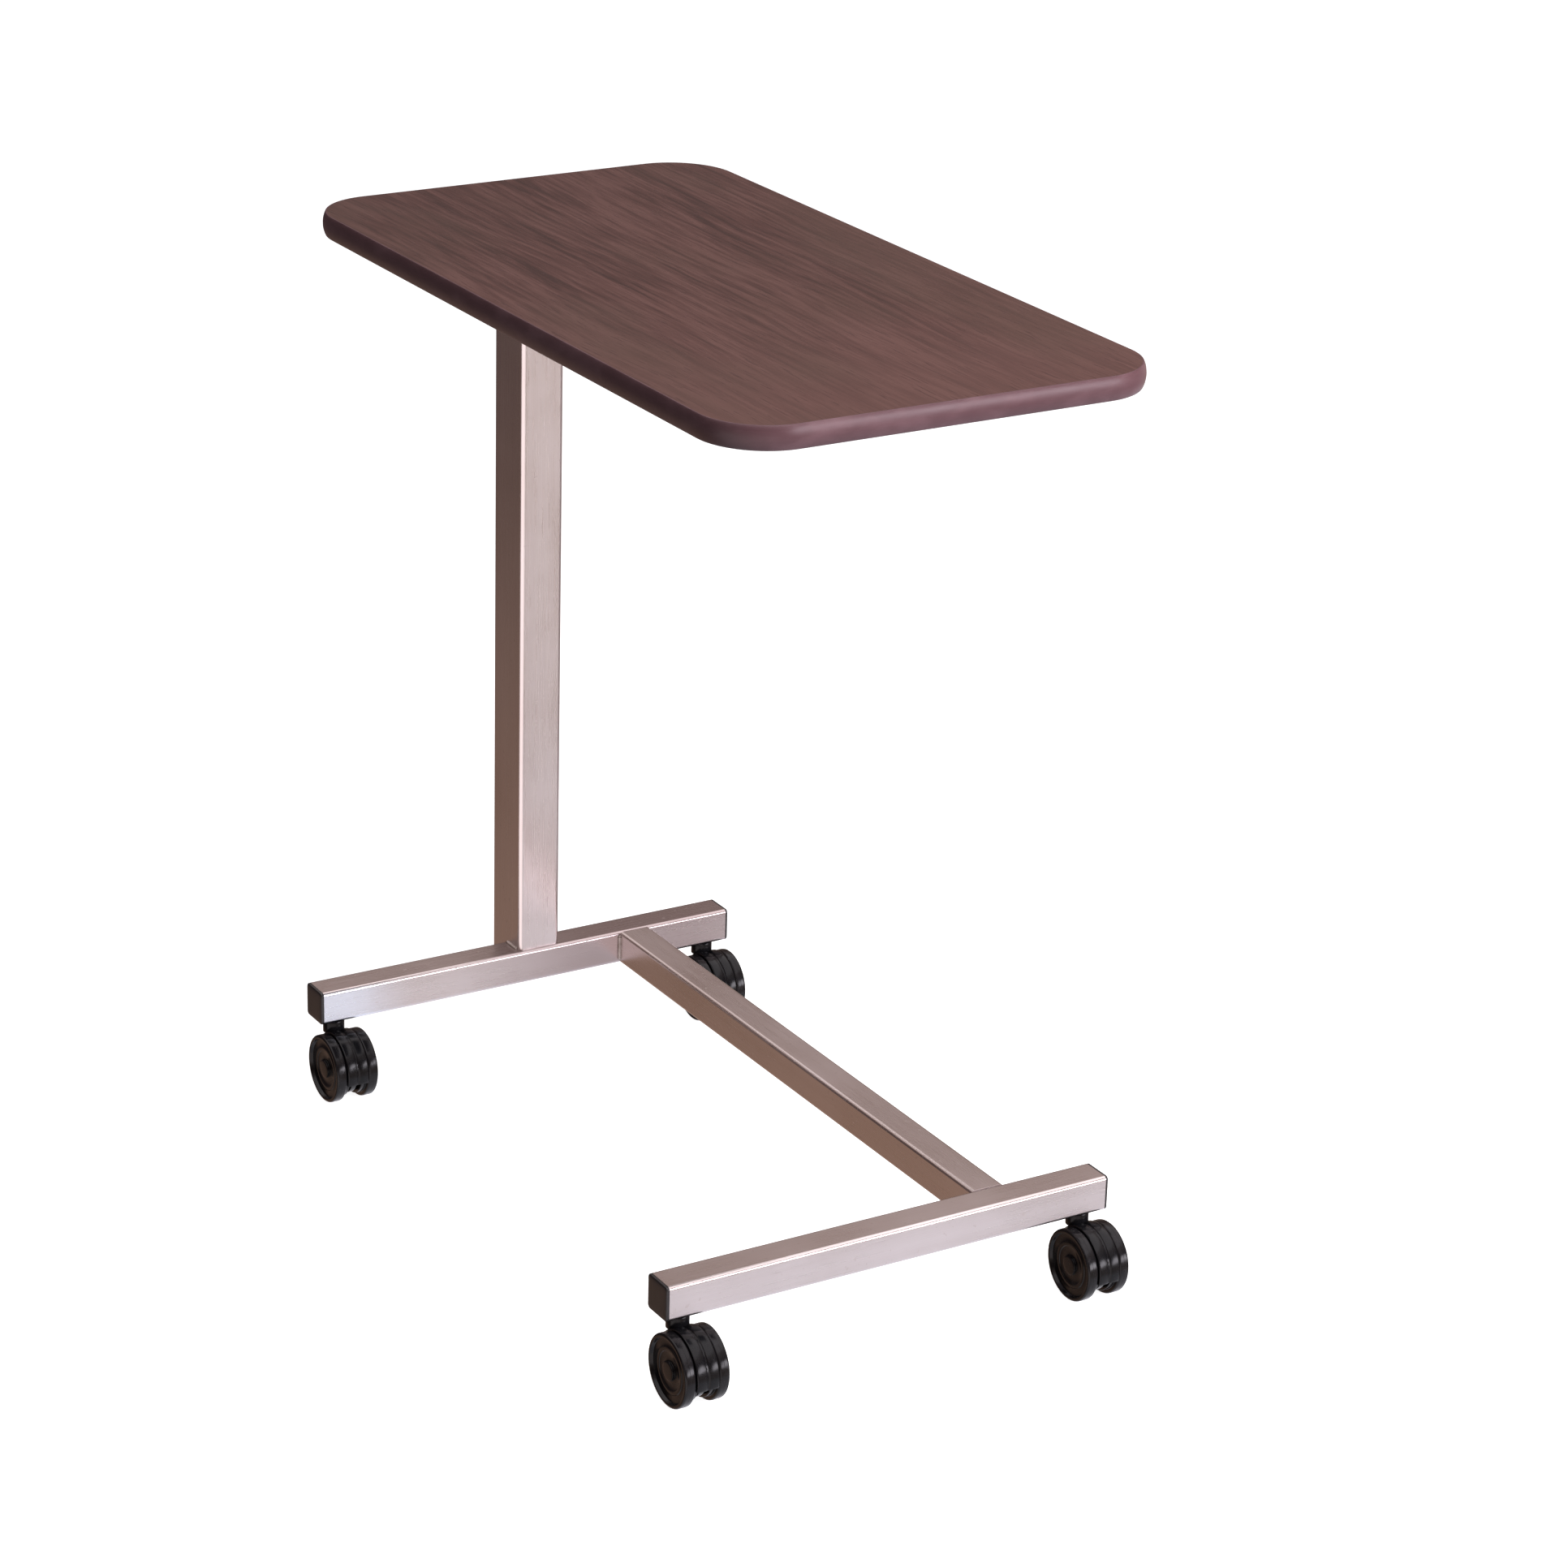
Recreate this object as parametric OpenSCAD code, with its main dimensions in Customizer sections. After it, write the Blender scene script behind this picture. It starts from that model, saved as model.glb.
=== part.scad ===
// Overbed table: a laminate top on a telescoping column, carried by an H-shaped tube base
// that rolls on four twin-wheel swivel casters.
// The origin is on the floor, below the middle of the whole table. +X runs from the column
// to the open end, +Y to the side of the height release, and +Z up. Facing +X, left is +Y.

/* [Tabletop] */
// Length of the tabletop over its edge moulding
top_length = 762; // [635:1:915]
// Width of the tabletop over its edge moulding
top_width = 406; // [338:1:488]
// Radius of the tabletop's corners, seen from above
corner_radius = 60; // [30:1:90]
// Thickness of the particle board core
core_thickness = 18.4; // [15:0.1:25]
// Thickness of the woodgrain laminate on top
laminate_thickness = 1; // [0.8:0.1:1.5]
// Thickness of the backing sheet underneath
backer_thickness = 1; // [0.6:0.1:1.5]
// How far the edge moulding stands out from the core at mid height
moulding_depth = 3.5; // [2.5:0.1:6]
// How much of that depth is the bulge of the moulding's round face
moulding_bulge = 2.3; // [0.5:0.1:2.4]
// Depth of the moulding's barb in the core
barb_depth = 9; // [6:0.5:12]
// Thickness of the barb
barb_thickness = 1.8; // [1.2:0.1:2.5]

/* [Column] */
// Height of the outer mast's top above the floor
mast_top = 704; // [587:1:845]
// Outer mast, size along the table
mast_x_size = 55; // [46:0.5:66]
// Outer mast, size across the table
mast_y_size = 43; // [36:0.5:52]
// Wall of the outer mast
mast_wall = 2; // [1.6:0.1:2.4]
// Outside corner radius of the outer mast
mast_corner = 4.5; // [3:0.1:5]
// Wall of the inner mast
inner_wall = 2; // [1.5:0.1:2.4]
// Outside corner radius of the inner mast
inner_corner = 3; // [2.5:0.1:4]
// Thickness of the plastic guides between the two masts
guide_thickness = 3; // [2.5:0.1:3.6]
// Running clearance of the guides on each side
slide_gap = 0.3; // [0.2:0.05:0.5]
// Length of the upper guide inside the outer mast
collar_length = 45; // [35:1:54]
// Height of the upper guide's flange above the outer mast
collar_flange = 4; // [3:0.5:5]
// Length of the lower guide on the inner mast
glide_length = 42; // [34:1:50]
// Length of inner mast that stays in the outer mast at full height
least_overlap = 184; // [150:1:220]
// How far the column stands above its lowest stop, as shown
raised = 76; // [0:1:200]
// Space between the collar and the bracket at the lowest stop
stow_gap = 24.6; // [24:0.1:32]
// Distance from the tabletop's end to the column's axis
mast_inset = 50.5; // [42:0.5:60.5]

/* [Base] */
// Outside size of the square base tubes
bar_size = 31.75; // [26:0.05:38.5]
// Wall of the base tubes
bar_wall = 1.8; // [1.5:0.1:2.2]
// Outside corner radius of the base tubes
bar_corner = 3.2; // [2.5:0.1:3.8]
// Length of each crossbar without its end caps
bar_length = 429; // [357:1:515]
// Distance between the two crossbars' axes
bar_spacing = 650; // [541:1:780]
// Place of the rear crossbar's axis along the table
rear_bar_x = -318; // [-340:1:-300]
// Sideways place of the spine's axis
spine_y = 113.5; // [60:0.5:125]
// Sideways place of the column's axis
mast_y = 12.5; // [0:0.5:25]
// How far the mast's front face stands behind the crossbar's front face
mast_setback = 4.5; // [1:0.5:6]
// Thickness of an end cap's flange
cap_flange = 3; // [2:0.1:4]
// Depth of an end cap's plug in the tube
cap_plug = 8; // [5:0.5:9]

/* [Casters] */
// Wheel diameter
wheel_diameter = 64; // [53:0.5:77]
// Width over both wheels of one caster
caster_width = 42; // [38:0.5:50]
// Distance that the wheels' axle trails the swivel axis
caster_trail = 20; // [17:0.5:23]
// Height of a crossbar's underside above the wheels' tops
neck_height = 10; // [8:0.5:12]
// Distance from a crossbar's end to the swivel axis
caster_inset = 17; // [16:0.5:30]
// Axle diameter
axle_diameter = 6; // [5:0.5:7]
// Diameter of the stem that the caster swivels on
pivot_diameter = 7; // [6:0.5:7.5]
// Diameter of the stem's upper end in its socket
stem_diameter = 11; // [9:0.5:12]
// Radial clearance of turning fits
turn_gap = 0.05; // [0.02:0.01:0.1]

/* [Under the top] */
// Length of each support rail
rail_length = 560; // [470:1:600]
// Width of a support rail
rail_width = 26; // [20:1:32]
// Height of a support rail
rail_height = 13; // [10:1:16]
// Sheet thickness of a support rail
rail_wall = 2; // [1.5:0.1:3]
// Distance from the column's axis to a rail's near side
rail_offset = 72; // [60:1:85]
// Thickness of the bracket plate between the rails
plate_thickness = 4; // [3:0.5:5]
// Length of the bracket plate
plate_length = 150; // [130:1:180]
// Wood screw shank diameter
screw_diameter = 4; // [3:0.5:5]
// Depth of a wood screw in the core
screw_bite = 13; // [8:1:14]

/* [Height release] */
// Width of the release lever
lever_width = 12; // [10:0.5:12]
// Thickness of the release lever
lever_thickness = 4; // [3:0.5:4.5]
// Diameter of the lever's pivot pin
pivot_pin_diameter = 5; // [4:0.5:6]
// Length of the lever's plastic grip
grip_length = 46; // [35:1:55]
// Diameter of the gas spring's rod
rod_diameter = 9; // [8:0.5:10]
// Diameter of the valve pin inside the rod
valve_pin_diameter = 4; // [3:0.5:4.5]
// Space between the gas spring's cylinder and the inner mast
spring_gap = 3; // [2.5:0.1:3.5]
// Wall of the gas spring's cylinder
spring_wall = 1.5; // [1.2:0.1:2]

/* [Hidden] */
$fn = 64;

// Colours
chrome = [0.72, 0.67, 0.66];
steel = [0.55, 0.55, 0.56];
dark_steel = [0.30, 0.30, 0.32];
black_plastic = [0.07, 0.07, 0.08];
nylon = [0.85, 0.84, 0.80];
walnut = [0.41, 0.29, 0.28];
board = [0.72, 0.58, 0.42];
moulding_brown = [0.25, 0.17, 0.17];
backer_brown = [0.16, 0.13, 0.12];

// Small distances that many pieces share
cut = 1;              // how far a cutting shape runs past the face it opens
snug = 0.02;          // gap of a pressed fit
seat_gap = 0.1;       // gap of a piece that drops into its tube
join = 0.5;           // how far two shapes of one piece run into each other

// Heights, from the floor up
wheel_radius = wheel_diameter / 2;
bar_under = wheel_diameter + neck_height;
bar_top = bar_under + bar_size;
seat_thickness = 10;
seat_top = bar_top + seat_thickness;
foot_gap = 4;
glide_lip = 3;
glide_low = seat_top + foot_gap;             // lower guide's underside at the lowest stop
plate_low = mast_top + collar_flange + stow_gap;
travel = mast_top - glide_low - least_overlap;
plate_z = plate_low + raised;
top_under = plate_z + plate_thickness;
top_thickness = backer_thickness + core_thickness + laminate_thickness;
core_z = top_under + backer_thickness;
laminate_z = core_z + core_thickness;
glide_z = glide_low + raised;
inner_mast_z = glide_z + glide_lip;

// Places along and across the table
front_bar_x = rear_bar_x + bar_spacing;
bar_half = bar_size / 2;
mast_x = rear_bar_x + bar_half - mast_setback - mast_x_size / 2;
top_x = mast_x - mast_inset + top_length / 2;
caster_y = bar_length / 2 - caster_inset;
cap_y = bar_length / 2;

// Sections of the two masts
bore_x = mast_x_size - 2 * mast_wall;
bore_y = mast_y_size - 2 * mast_wall;
inner_x = bore_x - 2 * guide_thickness;
inner_y = bore_y - 2 * guide_thickness;
inner_bore_x = inner_x - 2 * inner_wall;
inner_bore_y = inner_y - 2 * inner_wall;
bore_corner = mast_corner - mast_wall;

// Gas spring
cylinder_diameter = min(inner_bore_x, inner_bore_y) - 2 * spring_gap;
cylinder_bore = cylinder_diameter - 2 * spring_wall;
cylinder_base = 8;
gland_length = 14;
piston_length = 12;
piston_rest = 4;
cylinder_length = cylinder_base + piston_rest + travel + piston_length + piston_rest + gland_length;
piston_z = seat_top + cylinder_base + piston_rest + raised;
stud_diameter = 8;
stud_length = 9;
gland_rim = 3;

// Height release, hung below the bracket plate
head_thickness = 16;
lever_drop = 9.2;                            // bracket plate down to the lever's upper face
pivot_reach = 14;                            // inner mast's side out to the lever's pivot
pivot_y = mast_y + inner_y / 2 + pivot_reach;
lever_under = plate_z - lever_drop - lever_thickness;
pivot_z = lever_under + lever_thickness / 2;
press_gap = 0.4;
valve_pin_top = lever_under - press_gap;
valve_pin_proud = 13;
head_z = valve_pin_top - valve_pin_proud - head_thickness;
rod_top = head_z + head_thickness;
valve_pin_length = 66;
valve_stroke = 5;
eye_radius = 6;
ear_thickness = 3;
ear_gap = 0.6;
ear_low = 5.5;
pin_head = 1.5;
lever_tail = 6;
lever_dip = 11;
grip_width = 26;
grip_height = 10;
grip_end_wall = 4;
edge_inset = 27;
grip_end_y = mast_y + top_width / 2 - edge_inset;
slot_low = lever_under - 5;
head_pin_diameter = 5;
head_pin_length = 8;
head_pin_depth = head_pin_length - inner_wall + seat_gap;

// Bracket plate, rails and their wood screws: two rows of four and a group of four
plate_back = 38;                             // plate's reach behind the column's axis
rail_back = 36;                              // rails' reach behind the column's axis
rail_x0 = mast_x - rail_back;
rail_mid = rail_offset + rail_width / 2;
screws_per_rail = 4;
screw_margin = 30;
rail_screw_pitch = (rail_length - 2 * screw_margin) / (screws_per_rail - 1);
rail_screw_places = [
    for (side = [-1, 1], i = [0 : screws_per_rail - 1])
        [rail_x0 + screw_margin + i * rail_screw_pitch, mast_y + side * rail_mid]
];
bracket_screw_inset = 14;
bracket_screw_places = [
    for (end = [bracket_screw_inset, plate_length - bracket_screw_inset], side = [-1, 1])
        [mast_x - plate_back + end, mast_y + side * (rail_offset - bracket_screw_inset)]
];
weld_size = 2.5;

// Tabletop core, and the moulding's place on its edge
core_length = top_length - 2 * moulding_depth;
core_width = top_width - 2 * moulding_depth;
core_corner = corner_radius - moulding_depth;
core_middle = (backer_thickness - laminate_thickness) / 2;
groove_gap = 0.1;

// Casters
hood_proud = 1;
hood_wall = 3.2;
hood_half = 10.4;
side_gap = 0.4;
shoulder_drop = 4;
hood_radius = wheel_radius + hood_proud;
hood_bore = hood_radius - hood_wall;
web_half = 2.5;
hub_half = 3.6;
hub_radius = 6.8;
boss_radius = pivot_diameter / 2 + 1.9;
wheel_inner_y = boss_radius + 0.5;           // clears the boss round the stem
wheel_hub_y = hub_half + side_gap;
cover_thickness = 2.5;
cover_recess = 0.5;
axle_end_room = 1;
cover_radius = 8.8;
neck_radius = 10;
washer_thickness = 0.85;
washer_radius = 8;
socket_flange = 1.5;
swivel_gap = 0.3;
neck_top = neck_height - socket_flange - washer_thickness - swivel_gap;
socket_diameter = stem_diameter + 3;
socket_room = 2;
pivot_depth = 6;                             // stem's lower end above the wheels' axle
neck_corner = wheel_radius - shoulder_drop + 1;   // neck's lower edge clears the wheels' shoulders
neck_start = sqrt(neck_corner * neck_corner - (caster_trail - neck_radius) * (caster_trail - neck_radius));

// ---------------------------------------------------------------- outlines and placing

module rounded_outline(x, y, r) {
    square([x - 2 * r, y], center = true);
    square([x, y - 2 * r], center = true);
    for (sx = [-1, 1], sy = [-1, 1])
        translate([sx * (x / 2 - r), sy * (y / 2 - r)])
            circle(r);
}

module tube_outline(x, y, wall, r) {
    difference() {
        rounded_outline(x, y, r);
        rounded_outline(x - 2 * wall, y - 2 * wall, r - wall);
    }
}

// A quarter-round bead with its corner on the X axis, length along X
module bead(length, r) {
    rotate([90, 0, 90])
        linear_extrude(length, center = true)
            intersection() {
                circle(r);
                square(r);
            }
}

// ---------------------------------------------------------------- base frame

module crossbar(x) {
    color(chrome)
        translate([x, 0, bar_under + bar_half])
            difference() {
                rotate([90, 0, 0])
                    linear_extrude(bar_length, center = true)
                        tube_outline(bar_size, bar_size, bar_wall, bar_corner);
                for (side = [-1, 1])
                    translate([0, side * caster_y, -bar_half - cut])
                        cylinder(d = socket_diameter + 2 * snug, h = bar_wall + 2 * cut);
            }
}

module rear_crossbar() { crossbar(rear_bar_x); }

module front_crossbar() { crossbar(front_bar_x); }

module spine_tube() {
    color(chrome)
        translate([rear_bar_x + bar_spacing / 2, spine_y, bar_under + bar_half])
            rotate([90, 0, 90])
                linear_extrude(bar_spacing - bar_size, center = true)
                    tube_outline(bar_size, bar_size, bar_wall, bar_corner);
}

// A pair of vertical beads on both sides of a tube that ends against or passes a flat face
module side_beads(x, y, z, half_width, length, turn) {
    for (side = [-1, 1])
        translate([x, y + side * half_width, z])
            rotate([0, turn, 0])
                rotate([side > 0 ? 0 : 90, 0, 0])
                    bead(length, weld_size);
}

module base_welds() {
    upright = bar_size - 2 * bar_corner;
    middle = bar_under + bar_half;
    foot = bar_size - mast_setback - mast_corner - bar_corner;
    color(steel) {
        side_beads(rear_bar_x + bar_half, spine_y, middle, bar_half, upright, 90);
        side_beads(front_bar_x - bar_half, spine_y, middle, bar_half, upright, -90);
        side_beads(rear_bar_x - bar_half, mast_y, middle, mast_y_size / 2, upright, -90);
        // along the mast's foot, on top of the crossbar
        side_beads(rear_bar_x - bar_half + bar_corner + foot / 2, mast_y, bar_top, mast_y_size / 2, foot, 0);
    }
}

module end_cap(x, side) {
    plug = bar_size - 2 * bar_wall - 2 * seat_gap;
    plug_wall = 2;
    plug_corner = bar_corner - bar_wall;
    rim = 1;
    color(black_plastic)
        translate([x, side * cap_y, bar_under + bar_half])
            rotate([side > 0 ? -90 : 90, 0, 0]) {
                linear_extrude(cap_flange - rim)
                    rounded_outline(bar_size, bar_size, bar_corner);
                translate([0, 0, cap_flange - rim])
                    linear_extrude(rim)
                        rounded_outline(bar_size - 2 * rim, bar_size - 2 * rim, bar_corner);
                translate([0, 0, -cap_plug])
                    linear_extrude(cap_plug)
                        tube_outline(plug, plug, plug_wall, plug_corner + plug_wall);
            }
}

module end_cap_rear_left() { end_cap(rear_bar_x, 1); }

module end_cap_rear_right() { end_cap(rear_bar_x, -1); }

module end_cap_front_left() { end_cap(front_bar_x, 1); }

module end_cap_front_right() { end_cap(front_bar_x, -1); }

// ---------------------------------------------------------------- outer mast and its fittings

module outer_mast() {
    color(chrome)
        difference() {
            translate([mast_x, mast_y, bar_under])
                linear_extrude(mast_top - bar_under)
                    tube_outline(mast_x_size, mast_y_size, mast_wall, mast_corner);
            // the front of the mast stands on the crossbar, and the rest passes down behind it
            translate([rear_bar_x - bar_half, mast_y - mast_y_size, bar_under - cut])
                cube([mast_x_size, 2 * mast_y_size, bar_size + cut]);
        }
}

// Closes the part of the mast that passes down behind the crossbar
module mast_foot_plate() {
    color(steel)
        difference() {
            translate([mast_x, mast_y, bar_under])
                linear_extrude(mast_wall)
                    rounded_outline(bore_x - 2 * seat_gap, bore_y - 2 * seat_gap, bore_corner);
            translate([rear_bar_x - bar_half - seat_gap, mast_y - mast_y_size, bar_under - cut])
                cube([mast_x_size, 2 * mast_y_size, mast_wall + 2 * cut]);
        }
}

module spring_seat() {
    color(steel)
        difference() {
            translate([mast_x, mast_y, bar_top])
                linear_extrude(seat_thickness)
                    rounded_outline(bore_x - 2 * seat_gap, bore_y - 2 * seat_gap, bore_corner);
            translate([mast_x, mast_y, seat_top - stud_length])
                cylinder(d = stud_diameter + 2 * snug, h = stud_length + cut);
        }
}

module mast_collar() {
    color(black_plastic)
        translate([mast_x, mast_y, mast_top])
            difference() {
                union() {
                    linear_extrude(collar_flange)
                        rounded_outline(mast_x_size, mast_y_size, mast_corner);
                    translate([0, 0, -collar_length])
                        linear_extrude(collar_length)
                            rounded_outline(bore_x - 2 * seat_gap, bore_y - 2 * seat_gap, bore_corner);
                }
                translate([0, 0, -collar_length - cut])
                    linear_extrude(collar_length + collar_flange + 2 * cut)
                        rounded_outline(inner_x + 2 * slide_gap, inner_y + 2 * slide_gap, inner_corner);
            }
}

module gas_spring_cylinder() {
    color(dark_steel)
        translate([mast_x, mast_y, seat_top]) {
            difference() {
                cylinder(d = cylinder_diameter, h = cylinder_length);
                translate([0, 0, cylinder_base])
                    cylinder(d = cylinder_bore, h = cylinder_length);
            }
            translate([0, 0, -stud_length])
                cylinder(d = stud_diameter, h = stud_length);
        }
}

module gas_spring_gland() {
    color(steel)
        translate([mast_x, mast_y, seat_top + cylinder_length])
            difference() {
                union() {
                    translate([0, 0, -gland_length])
                        cylinder(d = cylinder_bore - 2 * snug, h = gland_length);
                    cylinder(d = cylinder_diameter, h = gland_rim);
                }
                translate([0, 0, -gland_length - cut])
                    cylinder(d = rod_diameter + 2 * turn_gap, h = gland_length + gland_rim + 2 * cut);
            }
}

// ---------------------------------------------------------------- casters

// Each caster is drawn with its axle's middle at the origin and its stem at -X
module at_caster(bar_x, side) {
    translate([bar_x + caster_trail, side * caster_y, wheel_radius])
        children();
}

module caster_stem(bar_x, side) {
    neck_z = wheel_radius + neck_height - socket_flange;
    grip = stem_diameter / 2;
    core = pivot_diameter / 2;
    stem_top = neck_z + socket_flange + bar_size - bar_wall - 3 * socket_room;
    groove = 0.7;
    ring_high = stem_top - 4;
    ring_low = stem_top - 7;
    color(steel)
        at_caster(bar_x, side)
            translate([-caster_trail, 0, 0])
                rotate_extrude()
                    polygon([
                        [0, pivot_depth], [core - groove, pivot_depth], [core, pivot_depth + groove],
                        [core, neck_z], [grip, neck_z], [grip, ring_low],
                        [grip - groove, ring_low], [grip - groove, ring_high],
                        [grip, ring_high], [grip, stem_top - groove],
                        [grip - groove, stem_top], [0, stem_top]
                    ]);
}

module caster_sockets() {
    bore = stem_diameter + 2 * snug;
    color(dark_steel)
        for (bar_x = [rear_bar_x, front_bar_x], side = [-1, 1])
            translate([bar_x, side * caster_y, bar_under])
                difference() {
                    union() {
                        translate([0, 0, -socket_flange])
                            cylinder(r = neck_radius, h = socket_flange);
                        cylinder(d = socket_diameter, h = bar_size - bar_wall - socket_room);
                    }
                    translate([0, 0, -socket_flange - cut])
                        cylinder(d = bore, h = bar_size + 2 * cut);
                }
}

module swivel_washers() {
    color(steel)
        for (bar_x = [rear_bar_x, front_bar_x], side = [-1, 1])
            translate([bar_x, side * caster_y, bar_under - socket_flange - washer_thickness])
                difference() {
                    cylinder(r = washer_radius, h = washer_thickness);
                    translate([0, 0, -cut])
                        cylinder(d = pivot_diameter + 2 * snug, h = washer_thickness + 2 * cut);
                }
}

module hood(bar_x, side) {
    fender_dip = 14;
    fender_sweep = 188;
    groove = 0.8;
    groove_half = 1.1;
    fin_radius = wheel_radius - 6;
    boss_floor = 2;
    color(black_plastic)
        at_caster(bar_x, side)
            difference() {
                union() {
                    // the mudguard, with a shallow groove round its middle
                    rotate([90, fender_dip, 0])
                        rotate_extrude(angle = fender_sweep)
                            difference() {
                                translate([hood_bore, -hood_half])
                                    square([hood_wall, 2 * hood_half]);
                                translate([hood_radius - groove, -groove_half])
                                    square([groove + cut, 2 * groove_half]);
                            }
                    // the web between the wheels
                    rotate([90, 0, 0])
                        cylinder(r = fin_radius, h = 2 * web_half, center = true);
                    intersection() {
                        rotate([90, 0, 0])
                            cylinder(r = hood_bore + cut, h = 2 * web_half, center = true);
                        translate([-hood_radius, -web_half, -hub_radius])
                            cube([2 * hood_radius, 2 * web_half, 2 * hood_radius]);
                    }
                    rotate([90, 0, 0])
                        cylinder(r = hub_radius, h = 2 * hub_half, center = true);
                    // the boss round the stem, and the neck above the mudguard
                    translate([-caster_trail, 0, pivot_depth - boss_floor])
                        cylinder(r = boss_radius, h = hood_radius - pivot_depth);
                    translate([-caster_trail, 0, neck_start])
                        cylinder(r = neck_radius, h = wheel_radius + neck_top - neck_start);
                }
                rotate([90, 0, 0])
                    cylinder(d = axle_diameter + 2 * snug, h = 2 * hub_half + 2 * cut, center = true);
                translate([-caster_trail, 0, pivot_depth - swivel_gap])
                    cylinder(d = pivot_diameter + 2 * turn_gap, h = 2 * hood_radius);
            }
}

module axle(bar_x, side) {
    axle_length = caster_width - 2 * (cover_thickness + axle_end_room);
    color(steel)
        at_caster(bar_x, side)
            rotate([90, 0, 0])
                cylinder(d = axle_diameter, h = axle_length, center = true);
}

// One wheel; wheel a is on the left side of its caster (+Y), wheel b on the right
module wheel(bar_x, side, hand) {
    outer_y = caster_width / 2;
    tread_y = hood_half + side_gap;
    rim_wall = 4;
    edge = 2;
    shoulder_wall = 3;
    web_y = outer_y - 6;
    web_thickness = 3;
    hub_recess = 1;
    bore = axle_diameter / 2 + turn_gap;
    color(black_plastic)
        at_caster(bar_x, side)
            rotate([hand > 0 ? -90 : 90, 0, 0])
                rotate_extrude() {
                    // tread ring with round shoulders
                    translate([wheel_radius - rim_wall, tread_y])
                        square([rim_wall - edge, outer_y - tread_y]);
                    translate([wheel_radius - edge - join, tread_y + edge])
                        square([edge + join, outer_y - tread_y - 2 * edge]);
                    for (y = [tread_y + edge, outer_y - edge])
                        translate([wheel_radius - edge, y])
                            circle(edge);
                    // the stepped shoulder that runs under the mudguard
                    translate([wheel_radius - shoulder_drop - shoulder_wall, wheel_inner_y])
                        square([shoulder_wall, tread_y - wheel_inner_y + edge]);
                    // web, hub and hub cover
                    translate([bore, web_y])
                        square([wheel_radius - rim_wall - bore + join, web_thickness]);
                    translate([bore, wheel_hub_y])
                        square([hub_radius - bore, outer_y - wheel_hub_y - hub_recess]);
                    translate([0, outer_y - cover_thickness])
                        square([cover_radius, cover_thickness - cover_recess]);
                }
}

module caster_stem_rear_left() { caster_stem(rear_bar_x, 1); }
module caster_stem_rear_right() { caster_stem(rear_bar_x, -1); }
module caster_stem_front_left() { caster_stem(front_bar_x, 1); }
module caster_stem_front_right() { caster_stem(front_bar_x, -1); }

module hood_rear_left() { hood(rear_bar_x, 1); }
module axle_rear_left() { axle(rear_bar_x, 1); }
module wheel_a_rear_left() { wheel(rear_bar_x, 1, 1); }
module wheel_b_rear_left() { wheel(rear_bar_x, 1, -1); }

module hood_rear_right() { hood(rear_bar_x, -1); }
module axle_rear_right() { axle(rear_bar_x, -1); }
module wheel_a_rear_right() { wheel(rear_bar_x, -1, 1); }
module wheel_b_rear_right() { wheel(rear_bar_x, -1, -1); }

module hood_front_left() { hood(front_bar_x, 1); }
module axle_front_left() { axle(front_bar_x, 1); }
module wheel_a_front_left() { wheel(front_bar_x, 1, 1); }
module wheel_b_front_left() { wheel(front_bar_x, 1, -1); }

module hood_front_right() { hood(front_bar_x, -1); }
module axle_front_right() { axle(front_bar_x, -1); }
module wheel_a_front_right() { wheel(front_bar_x, -1, 1); }
module wheel_b_front_right() { wheel(front_bar_x, -1, -1); }

// ---------------------------------------------------------------- inner mast and gas spring rod

module inner_mast() {
    slot_width = lever_width + 2;
    color(chrome)
        difference() {
            translate([mast_x, mast_y, inner_mast_z])
                linear_extrude(plate_z - inner_mast_z)
                    tube_outline(inner_x, inner_y, inner_wall, inner_corner);
            // slot for the release lever
            translate([mast_x - slot_width / 2, mast_y, slot_low])
                cube([slot_width, inner_y, plate_z - slot_low + cut]);
            for (side = [-1, 1])
                translate([mast_x + side * inner_x / 2, mast_y, head_z + head_thickness / 2])
                    rotate([0, 90, 0])
                        cylinder(d = head_pin_diameter + 2 * snug, h = 4 * inner_wall, center = true);
        }
}

module lower_glide() {
    color(nylon)
        translate([mast_x, mast_y, glide_z])
            difference() {
                linear_extrude(glide_length)
                    rounded_outline(bore_x - 2 * slide_gap, bore_y - 2 * slide_gap, bore_corner);
                translate([0, 0, -cut])
                    linear_extrude(glide_length + 2 * cut)
                        rounded_outline(inner_bore_x, inner_bore_y, inner_corner - inner_wall);
                translate([0, 0, glide_lip])
                    linear_extrude(glide_length)
                        rounded_outline(inner_x + 2 * snug, inner_y + 2 * snug, inner_corner);
            }
}

module gas_spring_piston() {
    color(steel)
        translate([mast_x, mast_y, piston_z])
            difference() {
                cylinder(d = cylinder_bore - 2 * slide_gap, h = piston_length);
                translate([0, 0, piston_length / 2])
                    cylinder(d = rod_diameter + 2 * snug, h = piston_length);
            }
}

module gas_spring_rod() {
    rod_low = piston_z + piston_length / 2;
    color(steel)
        translate([mast_x, mast_y, 0])
            difference() {
                translate([0, 0, rod_low])
                    cylinder(d = rod_diameter, h = rod_top - rod_low);
                translate([0, 0, valve_pin_top - valve_pin_length - valve_stroke])
                    cylinder(d = valve_pin_diameter + 2 * turn_gap, h = valve_pin_length + valve_stroke);
            }
}

module release_head() {
    head_x = inner_bore_x - 2 * seat_gap;
    head_y = inner_bore_y - 2 * seat_gap;
    color(dark_steel)
        translate([mast_x, mast_y, head_z])
            difference() {
                linear_extrude(head_thickness)
                    rounded_outline(head_x, head_y, inner_corner - inner_wall);
                translate([0, 0, -cut])
                    cylinder(d = rod_diameter + 2 * snug, h = head_thickness + 2 * cut);
                for (side = [-1, 1])
                    translate([side * inner_bore_x / 2, 0, head_thickness / 2])
                        rotate([0, 90, 0])
                            cylinder(d = head_pin_diameter + 2 * snug, h = 2 * head_pin_depth, center = true);
            }
}

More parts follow.
